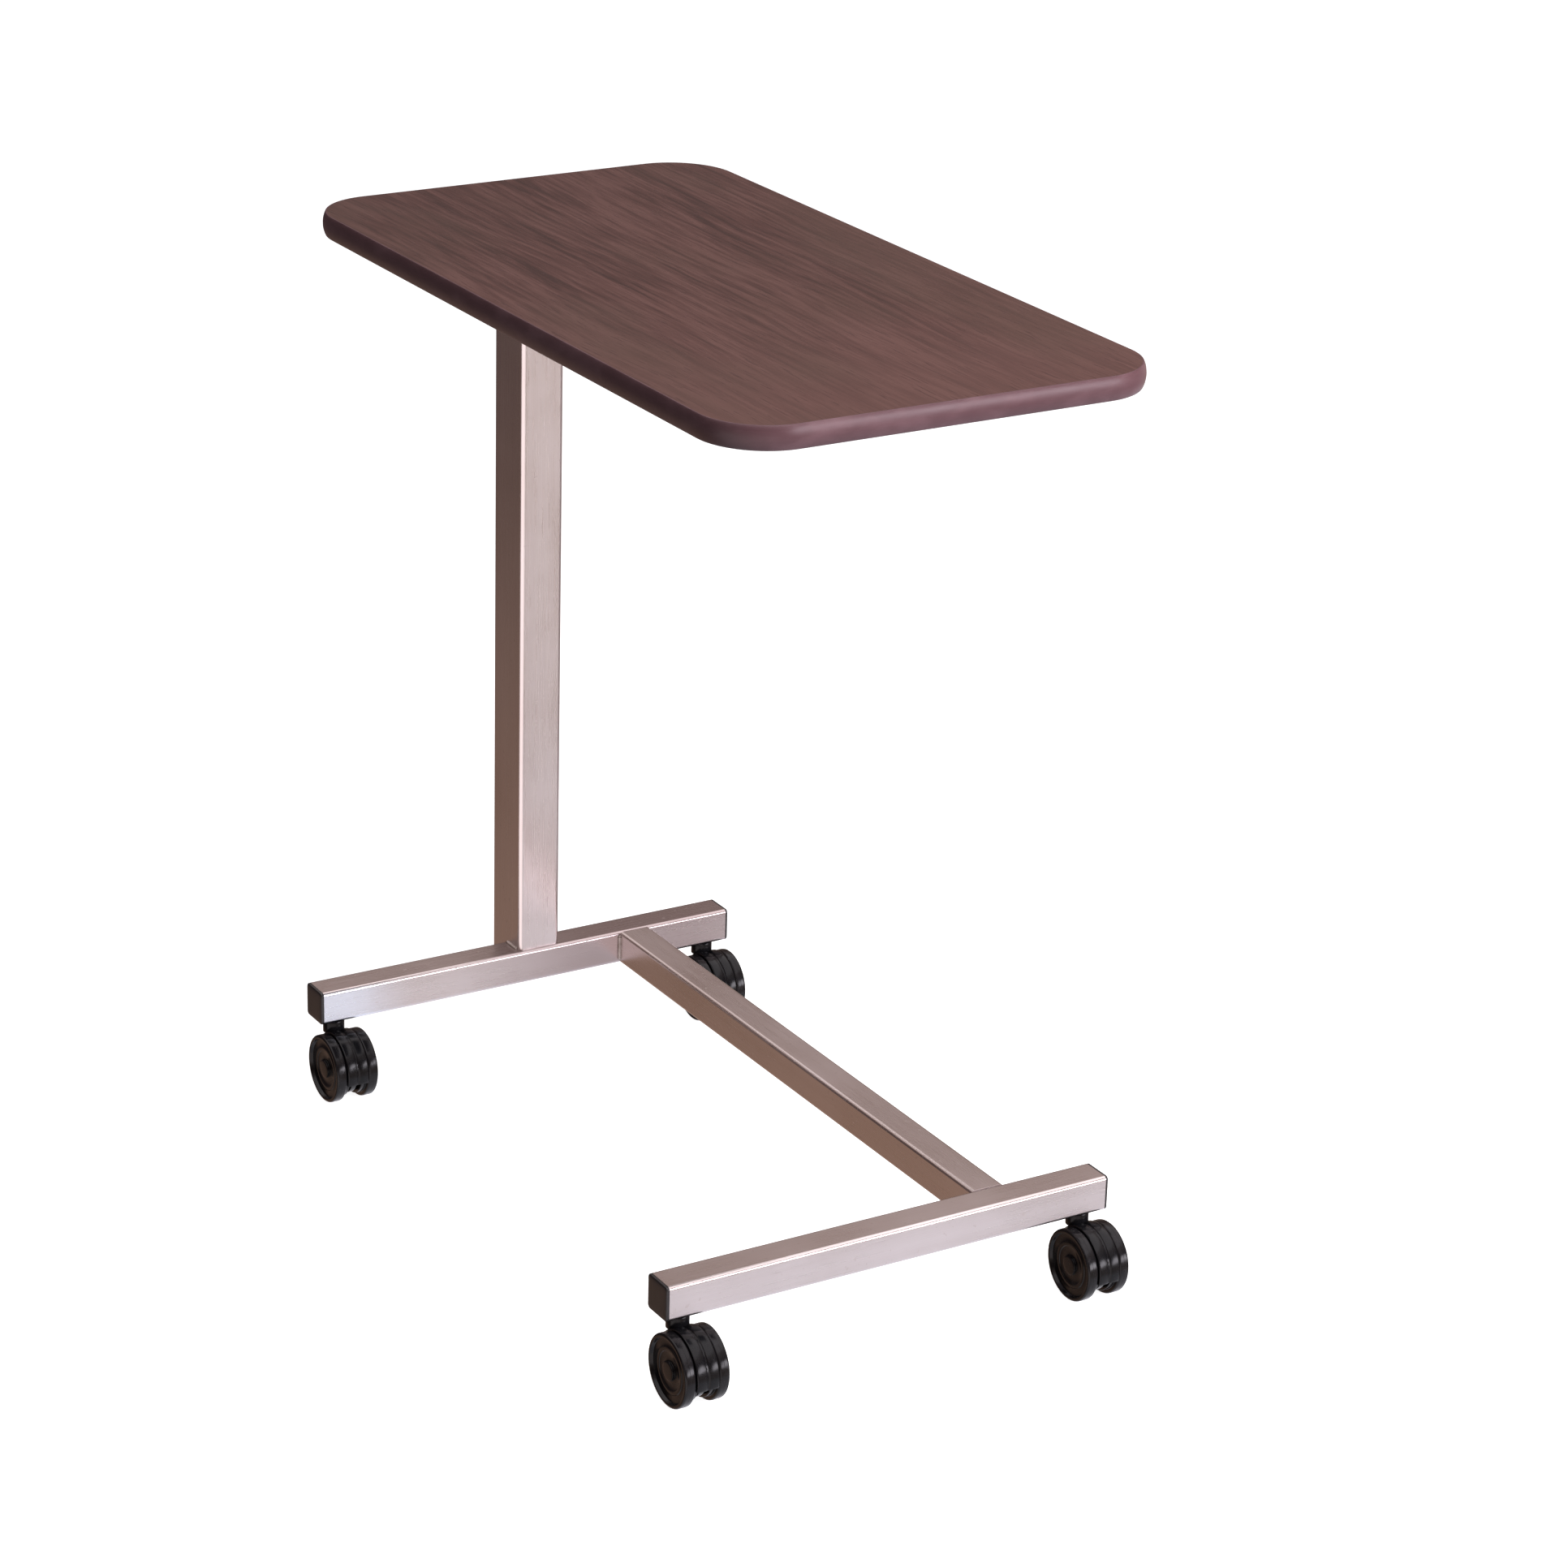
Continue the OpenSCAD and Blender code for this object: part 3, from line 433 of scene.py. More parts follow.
def piece(name, mesh, finish, slot, body, *stands_for, crease=SOFT_CREASE):
    """Makes the object, smooth where its faces meet at less than crease degrees."""
    bmesh.ops.remove_doubles(mesh, verts=mesh.verts, dist=SAME_POINT)
    bmesh.ops.dissolve_degenerate(mesh, edges=mesh.edges, dist=NO_LENGTH)
    bmesh.ops.recalc_face_normals(mesh, faces=mesh.faces)
    data = bpy.data.meshes.new(name)
    mesh.to_mesh(data)
    mesh.free()
    data.shade_smooth()
    data.set_sharp_from_angle(angle=math.radians(crease))
    data.materials.append(finish.material)
    made = bpy.data.objects.new(name, data)
    bpy.context.scene.collection.objects.link(made)
    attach(made, body)
    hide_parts(*stands_for)


def bead(mesh, start, end, across, outward):
    """A weld from start to end, filling the corner between the directions across and outward."""
    length = (end - start).length
    steps = max(FEWEST_STEPS, round(length / BEAD_PUDDLE * PUDDLE_STEPS))
    rings = []
    for i in range(steps + 1):
        t = i / steps
        puddle = (t * length / BEAD_PUDDLE) % 1.0
        swell = BEAD_VALLEY + BEAD_SWELL * math.sin(math.pi * puddle) ** BEAD_ROUNDNESS
        taper = min(1.0, BEAD_TIP + BEAD_FILLING * min(t, 1 - t))
        size = BEAD_SIZE * swell * taper
        corner = start + (end - start) * t
        arc = [0.5 * math.pi * k / (BEAD_ARC - 1) for k in range(BEAD_ARC)]
        ring = [corner + size * (math.cos(a) * across + math.sin(a) * outward) for a in arc]
        rings.append([corner] + ring)
    skin(mesh, rings)


def weld_finish():
    """Plated weld metal: brown where it ran hottest, and gritty."""
    finish = Finish("weld_bead", metallic=1.0)
    burn = finish.cloudy(BURNT_PATCHES, detail=3)
    grit = finish.cloudy(BEAD_GRIT, detail=2)
    finish.put(
        base_color=finish.ramp(burn, (0.3, BEAD_BURNT), (0.6, BEAD_CLEAN)),
        roughness=0.40 + 0.2 * grit,
    )
    return finish.raised(grit, GRIT_DEPTH, 0.4)


TUBE_CORNER = 3.2 * MM
MAST_CORNER = 4.5 * MM
X, Y, Z = Vector((1, 0, 0)), Vector((0, 1, 0)), Vector((0, 0, 1))

weld = weld_finish()
rear_low, rear_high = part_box("rear_crossbar")
front_low, front_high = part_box("front_crossbar")
mast_low, mast_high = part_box("outer_mast")
bead_low, bead_high = rear_low.z + TUBE_CORNER, rear_high.z - TUBE_CORNER

beads = bmesh.new()
for x, away in ((rear_high.x, X), (front_low.x, -X)):
    for y, side in ((spine_low.y, -Y), (spine_high.y, Y)):
        bead(beads, Vector((x, y, bead_low)), Vector((x, y, bead_high)), side, away)
foot_start = rear_low.x + TUBE_CORNER
foot_end = mast_high.x - MAST_CORNER
for y, side in ((mast_low.y, -Y), (mast_high.y, Y)):
    bead(beads, Vector((rear_low.x, y, bead_low)), Vector((rear_low.x, y, bead_high)), side, -X)
    bead(beads, Vector((foot_start, y, rear_high.z)), Vector((foot_end, y, rear_high.z)), side, Z)
piece(
    "base_weld_beads", beads, weld, "weld_steel", "base", "base_welds",
    crease=BEAD_CREASE,
)

# ------------------------------------------------------------------ end caps
# One moulded plug for each crossbar end, black and satin, pressed into the tube. Its face
# stands a little proud of the tube's end, with a soft rim and a slightly crowned middle.

CAP_BLACK = (0.012, 0.011, 0.012)
CAP_GRAIN = 2600
CAP_WALL_GAP = 1.9 * MM
CORNER_POINTS = 7
HAND_MARKS = 45
DUST = 420
DUST_EDGE = (0.62, 0.8)
DUST_TIMES, DUST_LIFT = 3.5, 0.012
MOULD_GRAIN_DEPTH = 0.00005


def outline(half_a, half_b, corner):
    """The points of a rectangle with round corners, as pairs, anticlockwise."""
    points = []
    for quarter, (a, b) in enumerate(((1, 1), (-1, 1), (-1, -1), (1, -1))):
        for i in range(CORNER_POINTS + 1):
            turn = 0.5 * math.pi * (quarter + i / CORNER_POINTS)
            points.append((
                a * (half_a - corner) + corner * math.cos(turn),
                b * (half_b - corner) + corner * math.sin(turn),
            ))
    return points


def laid(points, origin, first, second):
    """Flat pairs as points in space, one number along each of the two directions."""
    return [origin + a * first + b * second for a, b in points]


def moulded_black(name, colour, low_rough, high_rough, grain):
    """Moulded black plastic with a fine spark-eroded grain, hand marks and a little dust."""
    finish = Finish(name, specular_ior_level=0.5)
    fine = finish.cloudy(grain, detail=2)
    handled = finish.cloudy(HAND_MARKS, detail=4)
    dust = finish.cloudy(DUST, detail=2).between(*DUST_EDGE)
    dusty = tuple(c * DUST_TIMES + DUST_LIFT for c in colour)
    finish.put(
        base_color=finish.blend(dust * 0.35 + handled * 0.12, colour, dusty),
        roughness=low_rough + handled * (high_rough - low_rough) + dust * 0.1,
    )
    return finish.raised(fine, MOULD_GRAIN_DEPTH, 0.35)


cap_plastic = moulded_black("end_cap_plastic", CAP_BLACK, 0.30, 0.48, CAP_GRAIN)
bars = (("rear", rear_low, rear_high), ("front", front_low, front_high))

for x_name, bar_low, bar_high in bars:
    for y_name, side in (("left", 1), ("right", -1)):
        node = f"end_cap_{x_name}_{y_name}"
        low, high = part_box(node)
        middle = (low + high) / 2
        half = (high.z - low.z) / 2
        tube_end = bar_high.y if side > 0 else bar_low.y
        proud = (high.y - tube_end) if side > 0 else (tube_end - low.y)
        plug_end = low.y if side > 0 else high.y
        plug_half = half - CAP_WALL_GAP
        # each row: how far out from the tube's end, how far in from its sides, corner radius
        rows = (
            (side * (plug_end - tube_end), half - plug_half + 0.6 * MM, 1.2 * MM),
            (side * (plug_end - tube_end) + 0.8 * MM, half - plug_half, 1.4 * MM),
            (-0.05 * MM, half - plug_half, 1.4 * MM),
            (0.0, 0.35 * MM, TUBE_CORNER),
            (0.25 * MM, 0.05 * MM, TUBE_CORNER),
            (proud * 0.52, 0.0, TUBE_CORNER),
            (proud * 0.74, 0.25 * MM, TUBE_CORNER),
            (proud * 0.90, 0.95 * MM, TUBE_CORNER),
            (proud * 0.96, 2.2 * MM, 2.6 * MM),
            (proud * 0.99, 5.5 * MM, 1.6 * MM),
            (proud, 10.0 * MM, 0.8 * MM),
        )
        cap = bmesh.new()
        skin(cap, [
            laid(
                outline(half - inset, half - inset, corner),
                Vector((middle.x, tube_end + side * out, middle.z)), X, Z,
            )
            for out, inset, corner in rows
        ])
        piece(f"end_plug_{x_name}_{y_name}", cap, cap_plastic, "black_plastic", "base", node)

# ------------------------------------------------------------------ mast foot, seat and guides
# The foot plate and the spring's seat are zinc-plated steel, welded inside the mast. The
# upper guide is a black nylon collar with a flange; the lower one is natural nylon.

ZINC_LIGHT = (0.62, 0.63, 0.64)
ZINC_DARK = (0.40, 0.40, 0.37)
SPANGLES = 220
STAINS = 30
SPANGLE_DEPTH = 0.00004


def zinc_finish():
    """Bright zinc plating with small spangles and broad dull stains."""
    finish = Finish("zinc_plate", metallic=1.0)
    spangle = finish.cloudy(SPANGLES, detail=3)
    stain = finish.cloudy(STAINS, detail=4)
    finish.put(
        base_color=finish.blend(spangle * 0.6 + stain * 0.4, ZINC_DARK, ZINC_LIGHT),
        roughness=0.26 + spangle * 0.2,
    )
    return finish.raised(spangle, SPANGLE_DEPTH, 0.4)


zinc = zinc_finish()
coat("mast_foot_plate", zinc)
coat("spring_seat", zinc)

NYLON_BLACK = (0.014, 0.014, 0.015)
NYLON_WHITE = (0.74, 0.72, 0.66)
NYLON_SHADE = (0.60, 0.57, 0.50)
NYLON_GRAIN = 1800
MILKY_PATCHES = 60
RUB_LINES, RUB_LINES_UP = 300, 9
RUB_DEPTH = 0.00005
GUIDE_CORNER = 3.0 * MM
GUIDE_GAP = 0.3 * MM
SLEEVE_IN = 2.1 * MM
FLANGE_ROUND = 2.0 * MM
HAIR = 0.02 * MM

collar_nylon = moulded_black("collar_nylon", NYLON_BLACK, 0.34, 0.5, NYLON_GRAIN)


def white_nylon_finish():
    """Natural nylon, milky, and rubbed in upright lines where the mast slides on it."""
    finish = Finish("natural_nylon")
    milky = finish.cloudy(MILKY_PATCHES, detail=3)
    rubbed = finish.cloudy((RUB_LINES, RUB_LINES, RUB_LINES_UP), detail=2)
    finish.put(
        base_color=finish.blend(milky * 0.6 + rubbed * 0.4, NYLON_SHADE, NYLON_WHITE),
        roughness=0.34 + rubbed * 0.2,
    )
    return finish.raised(rubbed, RUB_DEPTH, 0.3)


coat("lower_glide", white_nylon_finish())

collar_low, collar_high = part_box("mast_collar")
inner_low, inner_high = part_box("inner_mast")
collar_middle = (collar_low + collar_high) / 2
flange_half = (collar_high - collar_low) / 2
bore_half = (inner_high - inner_low) / 2 + GUIDE_GAP * (X + Y)
# each row: height, and how far in from the flange's sides; up the outside of the collar
sleeve_rows = (
    (collar_low.z, SLEEVE_IN + 0.5 * MM),
    (collar_low.z + 0.8 * MM, SLEEVE_IN),
    (mast_high.z - HAIR, SLEEVE_IN),
    (mast_high.z + HAIR, 0.2 * MM),
    (mast_high.z + 0.4 * MM, 0.0),
    (collar_high.z - 1.4 * MM, 0.0),
    (collar_high.z - 0.6 * MM, 0.25 * MM),
    (collar_high.z - 0.15 * MM, 0.8 * MM),
    (collar_high.z, 1.6 * MM),
)
# each row: height, and how far out from the bore; back down its inside
bore_rows = (
    (collar_high.z, 0.9 * MM),
    (collar_high.z - 0.25 * MM, 0.3 * MM),
    (collar_high.z - 0.9 * MM, 0.0),
    (collar_low.z + 0.8 * MM, 0.0),
    (collar_low.z, 0.4 * MM),
)


def collar_ring(half, grow, corner, z):
    """The collar's outline at this height, grown by so much from its half sizes."""
    points = outline(half.x + grow, half.y + grow, corner)
    return laid(points, Vector((collar_middle.x, collar_middle.y, z)), X, Y)


collar_rings = [
    collar_ring(flange_half, -inset, MAST_CORNER - min(inset, FLANGE_ROUND), z)
    for z, inset in sleeve_rows
]
collar_rings += [
    collar_ring(bore_half, widen, GUIDE_CORNER + widen, z)
    for z, widen in bore_rows
]
collar = bmesh.new()
skin(collar, collar_rings, round_path=True)
piece("column_collar", collar, collar_nylon, "black_nylon", "base", "mast_collar")

# ------------------------------------------------------------------ gas spring
# A lockable gas spring stands in the seat: a black painted cylinder, a pressed-in gland, and
# a ground steel rod that carries the table. The valve pin is pushed down inside the rod.

PAINT_BLACK = (0.020, 0.020, 0.022)
PAINT_RUBBED = (0.05, 0.05, 0.052)
ORANGE_PEEL, PEEL_DEPTH = 900, 0.00012
PAINT_RUBS, RUB_EDGE = 80, (0.58, 0.75)
ROD_STEEL = (0.74, 0.74, 0.75)
ROD_MARKS = (0.60, 0.60, 0.60)
GRINDING, GRINDING_ROUND = 2600, 30
GRINDING_DEPTH = 0.00002
ROD_WEAR = 50


def painted_black():
    """Powder-coated steel: an even black with fine orange peel and a few lighter rubs."""
    finish = Finish("black_powder_coat", specular_ior_level=0.5)
    peel = finish.cloudy(ORANGE_PEEL, detail=1)
    rubs = finish.cloudy(PAINT_RUBS, detail=5).between(*RUB_EDGE)
    finish.put(
        base_color=finish.blend(rubs * 0.5, PAINT_BLACK, PAINT_RUBBED),
        roughness=0.38 + peel * 0.14 + rubs * 0.08,
    )
    return finish.raised(peel, PEEL_DEPTH, 0.5)


def ground_steel():
    """Hard chromed rod, with the faint rings of centreless grinding and a little wear."""
    finish = Finish("ground_steel", metallic=1.0)
    turned = finish.cloudy((GRINDING_ROUND, GRINDING_ROUND, GRINDING), detail=1)
    worn = finish.cloudy(ROD_WEAR, detail=3)
    finish.put(
        base_color=finish.blend(worn * 0.6 + turned * 0.4, ROD_MARKS, ROD_STEEL),
        roughness=0.10 + turned * 0.10 + worn * 0.08,
    )
    return finish.raised(turned, GRINDING_DEPTH, 0.4)


black_coat = painted_black()
bright_steel = ground_steel()
coat("gas_spring_cylinder", black_coat)
coat("gas_spring_gland", zinc)
coat("gas_spring_piston", zinc)
coat("gas_spring_rod", bright_steel)
coat("valve_pin", bright_steel)
coat("release_head", black_coat)
coat("head_pins", zinc)

# ------------------------------------------------------------------ casters
# Each caster swivels on a steel stem held in a pressed socket in the crossbar. A glossy
# black moulding is neck, web and mudguard in one, with a shallow groove round its middle;
# the two moulded wheels run on a steel axle either side of the web.

HOOD_BLACK = (0.004, 0.004, 0.005)
TREAD_BLACK = (0.006, 0.0055, 0.0065)
DUSTY_BLACK = (0.016, 0.015, 0.017)
WIPE_SWIRLS, SWIRL_TURN, SWIRL_DEPTH = 160, 1.5, 0.00003
HOOD_DUST = 700
HOOD_DUST_EDGE = (0.64, 0.8)
SCUFFS = 110
SCUFF_EDGE = (0.45, 0.75)
TREAD_GRAIN, TREAD_GRAIN_DEPTH = 1600, 0.00004

coat("caster_sockets", zinc)
coat("swivel_washers", zinc)


def hood_gloss():
    """High-gloss moulding plastic, with faint swirls from wiping and a little dust in them."""
    finish = Finish("caster_gloss", specular_ior_level=0.2)
    swirl = finish.cloudy(WIPE_SWIRLS, detail=4, warp=SWIRL_TURN)
    dust = finish.cloudy(HOOD_DUST, detail=2).between(*HOOD_DUST_EDGE)
    finish.put(
        base_color=finish.blend(0.3 * dust, HOOD_BLACK, DUSTY_BLACK),
        roughness=0.14 + 0.12 * swirl + 0.2 * dust,
    )
    return finish.raised(swirl, SWIRL_DEPTH, 0.3)


def tread_plastic():
    """Moulded wheel plastic: nearly as glossy, with paler dull scuffs and a fine grain."""
    finish = Finish("tread_plastic", specular_ior_level=0.2)
    scuff = finish.cloudy(SCUFFS, detail=5).between(*SCUFF_EDGE)
    fine = finish.cloudy(TREAD_GRAIN, detail=2)
    finish.put(
        base_color=finish.blend(0.5 * scuff, TREAD_BLACK, DUSTY_BLACK),
        roughness=0.14 + 0.16 * scuff + 0.05 * fine,
    )
    return finish.raised(fine, TREAD_GRAIN_DEPTH, 0.3)


gloss = hood_gloss()
tread = tread_plastic()

# the casters' own sizes are in millimetres, and angles in degrees
LATHE_STEPS = 96
POST_STEPS = 48
TRAIL = 20.0
HOOD_RADIUS = 33.0
HOOD_WALL = 3.2
WALL_BITE = 0.5
FENDER_START, FENDER_END = -14.0, 174.0
FENDER_STEP = 2.0
# how far the mudguard's ends are drawn in towards its middle, and over what angle
FENDER_LIP, FENDER_SHOULDER, LIP_TURN = 0.55, 0.2, 0.5
LIP_NARROWING = 0.06
WEB_HALF = 2.5
WEB_RADIUS = 26.0
WEB_LOW = -6.8
HUB_RADIUS, HUB_HALF = 6.8, 3.6
DISC_EDGE, DISC_BEVEL = 0.985, 0.35
BOSS_RADIUS, BOSS_TIP = 5.4, 4.6
BOSS_LOW, BOSS_TAPER, BOSS_HIGH = 4.0, 4.8, 29.0
NECK_RADIUS = 10.0
NECK_LOW, NECK_HIGH = 27.3, 39.35
NECK_BEVEL, NECK_SHOULDER = 0.3, 1.0
# the mudguard's section: radius from the axle, distance from the middle
FENDER_SECTION = (
    (29.8, 9.9), (29.8, -9.9), (30.0, -10.3), (30.3, -10.4), (32.0, -10.4), (32.55, -10.22),
    (32.88, -9.8), (33.0, -9.2), (33.0, -1.7), (32.85, -1.35), (32.45, -1.1), (32.2, -0.7),
    (32.2, 0.7), (32.45, 1.1), (32.85, 1.35), (33.0, 1.7), (33.0, 9.2), (32.88, 9.8),
    (32.55, 10.22), (32.0, 10.4), (30.3, 10.4), (30.0, 10.3),
)


def around(section, degrees, centre, narrow=0.0):
    """A section of radius and side distance, stood up at this angle from +X towards +Z.

    narrow, from 0 to 1, draws it in towards its mean radius.
    """
    turn = math.radians(degrees)
    out = Vector((math.cos(turn), 0, math.sin(turn)))
    mid = sum(radius for radius, y in section) / len(section)
    slim = 1 - narrow * LIP_NARROWING
    return [
        centre + MM * ((radius + (mid - radius) * narrow) * out + y * slim * Y)
        for radius, y in section
    ]


def circle_points(radius, steps):
    turns = [2 * math.pi * i / steps for i in range(steps)]
    return [(radius * math.cos(t), radius * math.sin(t)) for t in turns]


def web_points():
    """The web's outline: it bites into the mudguard, and is a smaller disc below."""
    full = HOOD_RADIUS - HOOD_WALL + WALL_BITE
    points = []
    for i in range(LATHE_STEPS):
        t = 2 * math.pi * i / LATHE_STEPS
        radius = full if math.sin(t) * WEB_RADIUS > WEB_LOW else WEB_RADIUS
        points.append((radius * math.cos(t), radius * math.sin(t)))
    return points


def disc(mesh, flat, centre, half):
    """A flat plate in the XZ plane with slightly rounded edges."""
    rows = (
        (-half, DISC_EDGE), (DISC_BEVEL - half, 1.0),
        (half - DISC_BEVEL, 1.0), (half, DISC_EDGE),
    )
    skin(mesh, [
        [centre + MM * (x * s * X + y * Y + z * s * Z) for x, z in flat]
        for y, s in rows
    ])


def post(mesh, rows, centre):
    """An upright round post: each row is its height and its radius."""
    skin(mesh, [
        [centre + MM * Vector((x, y, z)) for x, y in circle_points(radius, POST_STEPS)]
        for z, radius in rows
    ])


# a wheel's section, from its bore round the tread to the hub cover: radius from the axle,
# distance from the middle
WHEEL_SECTION = (
    (3.05, 4.0), (6.5, 4.0), (6.8, 4.3), (6.8, 14.7), (7.1, 15.0), (24.7, 15.0), (25.0, 14.7),
    (25.0, 6.3), (25.4, 5.9), (27.6, 5.9), (28.0, 6.3), (28.0, 10.5), (28.3, 10.8), (30.0, 10.8),
    (30.75, 10.95), (31.4, 11.4), (31.85, 12.05), (32.0, 12.8), (32.0, 15.8), (31.9, 15.95),
    (32.0, 16.1), (32.0, 19.0), (31.85, 19.75), (31.4, 20.4), (30.75, 20.85), (30.0, 21.0),
    (28.9, 21.0), (28.5, 20.85), (28.25, 20.5), (27.7, 18.5), (27.4, 18.12), (26.9, 18.0),
    (21.2, 18.0), (20.9, 18.15), (20.7, 18.45), (20.4, 18.6), (17.2, 18.6), (16.9, 18.45),
    (16.7, 18.15), (16.4, 18.0), (9.3, 18.0), (8.95, 18.1), (8.8, 18.4), (8.8, 19.5), (8.6, 20.0),
    (8.0, 20.3), (6.8, 20.42), (3.5, 20.48), (0.0, 20.5), (0.0, 18.5), (3.05, 18.5),
)

for x_name in ("rear", "front"):
    for y_name in ("left", "right"):
        corner = f"{x_name}_{y_name}"
        axle_low, axle_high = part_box(f"axle_{corner}")
        axle = (axle_low + axle_high) / 2
        stem = axle - TRAIL * MM * X
        body = f"caster_{corner}"
        coat(f"caster_stem_{corner}", zinc)
        coat(f"axle_{corner}", zinc)

        hood = bmesh.new()
        sweep = FENDER_END - FENDER_START
        count = round(sweep / FENDER_STEP)
        turns = [(FENDER_START, FENDER_LIP), (FENDER_START + LIP_TURN, FENDER_SHOULDER)]
        turns += [(FENDER_START + sweep * i / count, 0.0) for i in range(1, count)]
        turns += [(FENDER_END - LIP_TURN, FENDER_SHOULDER), (FENDER_END, FENDER_LIP)]
        skin(hood, [around(FENDER_SECTION, turn, axle, narrow) for turn, narrow in turns])
        disc(hood, web_points(), axle, WEB_HALF)
        disc(hood, circle_points(HUB_RADIUS, POST_STEPS), axle, HUB_HALF)
        post(hood, (
            (BOSS_LOW, BOSS_TIP), (BOSS_TAPER, BOSS_RADIUS), (BOSS_HIGH, BOSS_RADIUS),
        ), stem)
        post(hood, (
            (NECK_LOW, NECK_RADIUS), (NECK_HIGH - NECK_SHOULDER, NECK_RADIUS),
            (NECK_HIGH - NECK_BEVEL, NECK_RADIUS - NECK_BEVEL),
            (NECK_HIGH, NECK_RADIUS - NECK_SHOULDER),
        ), stem)
        piece(f"caster_hood_{corner}", hood, gloss, "caster_plastic", body, f"hood_{corner}")

        for wheel_name, hand in (("a", 1), ("b", -1)):
            name = f"wheel_{wheel_name}_{corner}"
            section = [(radius, hand * y) for radius, y in WHEEL_SECTION]
            turns = [i * 360 / LATHE_STEPS for i in range(LATHE_STEPS)]
            wheel = bmesh.new()
            skin(wheel, [around(section, turn, axle) for turn in turns], round_path=True)
            piece(f"caster_{name}", wheel, tread, "caster_tread", name, name)

# ------------------------------------------------------------------ inner mast, bracket and rails
# The inner mast is plated like the outer one. The bracket plate welded on its head and the
# two channel rails under the top are powder-coated; wood screws hold them to the board.

coat("inner_mast", plating_z)
coat("support_bracket", black_coat)
coat("support_rail_left", black_coat)
coat("support_rail_right", black_coat)
coat("lever_pivot_pin", zinc)
coat("rail_screws", zinc)
coat("bracket_screws", zinc)

STITCH = 30 * MM
RAIL_OFFSET = 72 * MM

plate_low, plate_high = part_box("support_bracket")
column = (inner_low + inner_high) / 2
plate_under = inner_high.z
column_beads = bmesh.new()
bead_half = (inner_high.y - inner_low.y) / 2 - GUIDE_CORNER
for x, away in ((inner_low.x, -X), (inner_high.x, X)):
    start = Vector((x, column.y - bead_half, plate_under))
    bead(column_beads, start, start + 2 * bead_half * Y, away, -Z)
for side in (-1, 1):
    for middle in (plate_low.x + STITCH, plate_high.x - STITCH):
        start = Vector((middle - STITCH / 2, column.y + side * RAIL_OFFSET, plate_under))
        bead(column_beads, start, start + STITCH * X, -side * Y, -Z)
piece(
    "column_weld_beads", column_beads, weld, "weld_steel", "table", "column_welds",
    crease=BEAD_CREASE,
)

# ------------------------------------------------------------------ release lever
# A cranked steel strip on a pivot pin, powder-coated. Its tail presses the valve pin, and
# its free end carries a moulded grip with finger ridges underneath.

coat("release_lever", black_coat)

GRIP_ROUND = 4.0 * MM
GRIP_RIDGES = 5
RIDGE_HEIGHT = 0.7 * MM
RIDGED_FROM, RIDGED_TO = 0.12, 0.88
# how far the rounded ends draw in each way, and how round the section's corners may get
GRIP_END_X, GRIP_END_Z, GRIP_ROUNDEST = 0.9, 0.85, 0.95
GRIP_STEPS = 90
GRIP_GRAIN = 2000
GRIP_CREASE = 50

grip_low, grip_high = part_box("lever_grip")
grip_middle = (grip_low + grip_high) / 2
grip_length = grip_high.y - grip_low.y
grip_half_x = (grip_high.x - grip_low.x) / 2
grip_half_z = (grip_high.z - grip_low.z) / 2


def grip_ring(t):
    """The grip's outline at this share of its length, with its rounded ends and its ridges."""
    end = min(t, 1 - t) * grip_length
    round_off = 0.0
    if end <= GRIP_ROUND:
        round_off = GRIP_ROUND - math.sqrt(max(0.0, end * (2 * GRIP_ROUND - end)))
    ridge = 0.0
    if RIDGED_FROM < t < RIDGED_TO:
        ridge = RIDGE_HEIGHT * (0.5 + 0.5 * math.cos(2 * math.pi * GRIP_RIDGES * t))
    half_x = grip_half_x - round_off * GRIP_END_X
    half_z = grip_half_z - round_off * GRIP_END_Z
    points = outline(half_x, half_z, min(GRIP_ROUND, half_z * GRIP_ROUNDEST))
    points = [(a, b + ridge if b < 0 else b) for a, b in points]
    place = Vector((grip_middle.x, grip_low.y + t * grip_length, grip_middle.z))
    return laid(points, place, X, Z)


grip = bmesh.new()
skin(grip, [grip_ring(i / GRIP_STEPS) for i in range(GRIP_STEPS + 1)])
grip_plastic = moulded_black("grip_plastic", CAP_BLACK, 0.36, 0.52, GRIP_GRAIN)
piece(
    "release_grip", grip, grip_plastic, "black_plastic", "lever", "lever_grip",
    crease=GRIP_CREASE,
)

# ------------------------------------------------------------------ tabletop board
# Particle board, faced underneath with a dark backing sheet and on top with high-pressure
# laminate in a walnut woodgrain. The grain runs along the table; the surface is satin.

CHIP_LIGHT = (0.56, 0.42, 0.28)
CHIP_DARK = (0.30, 0.20, 0.12)
CHIPS, CHIP_DEPTH = (260, 420, 520), 0.0003
GLUE = 900
BACKING_DARK = (0.012, 0.009, 0.008)
BACKING_PALE = (0.032, 0.024, 0.021)
BACKING_MOTTLE = 55
BACKING_GRIT, BACKING_DEPTH = 1300, 0.00008


def particle_board():
    """Pressed wood chips with darker resin between them."""
    finish = Finish("particle_board", roughness=0.85)
    chips = finish.node(
        "ShaderNodeTexVoronoi", None, {"Vector": finish.stretched(CHIPS), "Scale": 1},
    )
    glue = finish.cloudy(GLUE, detail=2)
    finish.put(base_color=finish.blend(chips * 0.8 + glue * 0.2, CHIP_DARK, CHIP_LIGHT))
    return finish.raised(chips, CHIP_DEPTH, 0.5)


def backing():
    """Resin-soaked brown-black paper, a little mottled and gritty."""
    finish = Finish("backing_sheet", specular_ior_level=0.4)
    mottle = finish.cloudy(BACKING_MOTTLE, detail=5)
    grit = finish.cloudy(BACKING_GRIT, detail=1)
    finish.put(
        base_color=finish.blend(mottle * 0.7 + grit * 0.3, BACKING_DARK, BACKING_PALE),
        roughness=0.50 + grit * 0.14,
    )
    return finish.raised(grit, BACKING_DEPTH, 0.5)


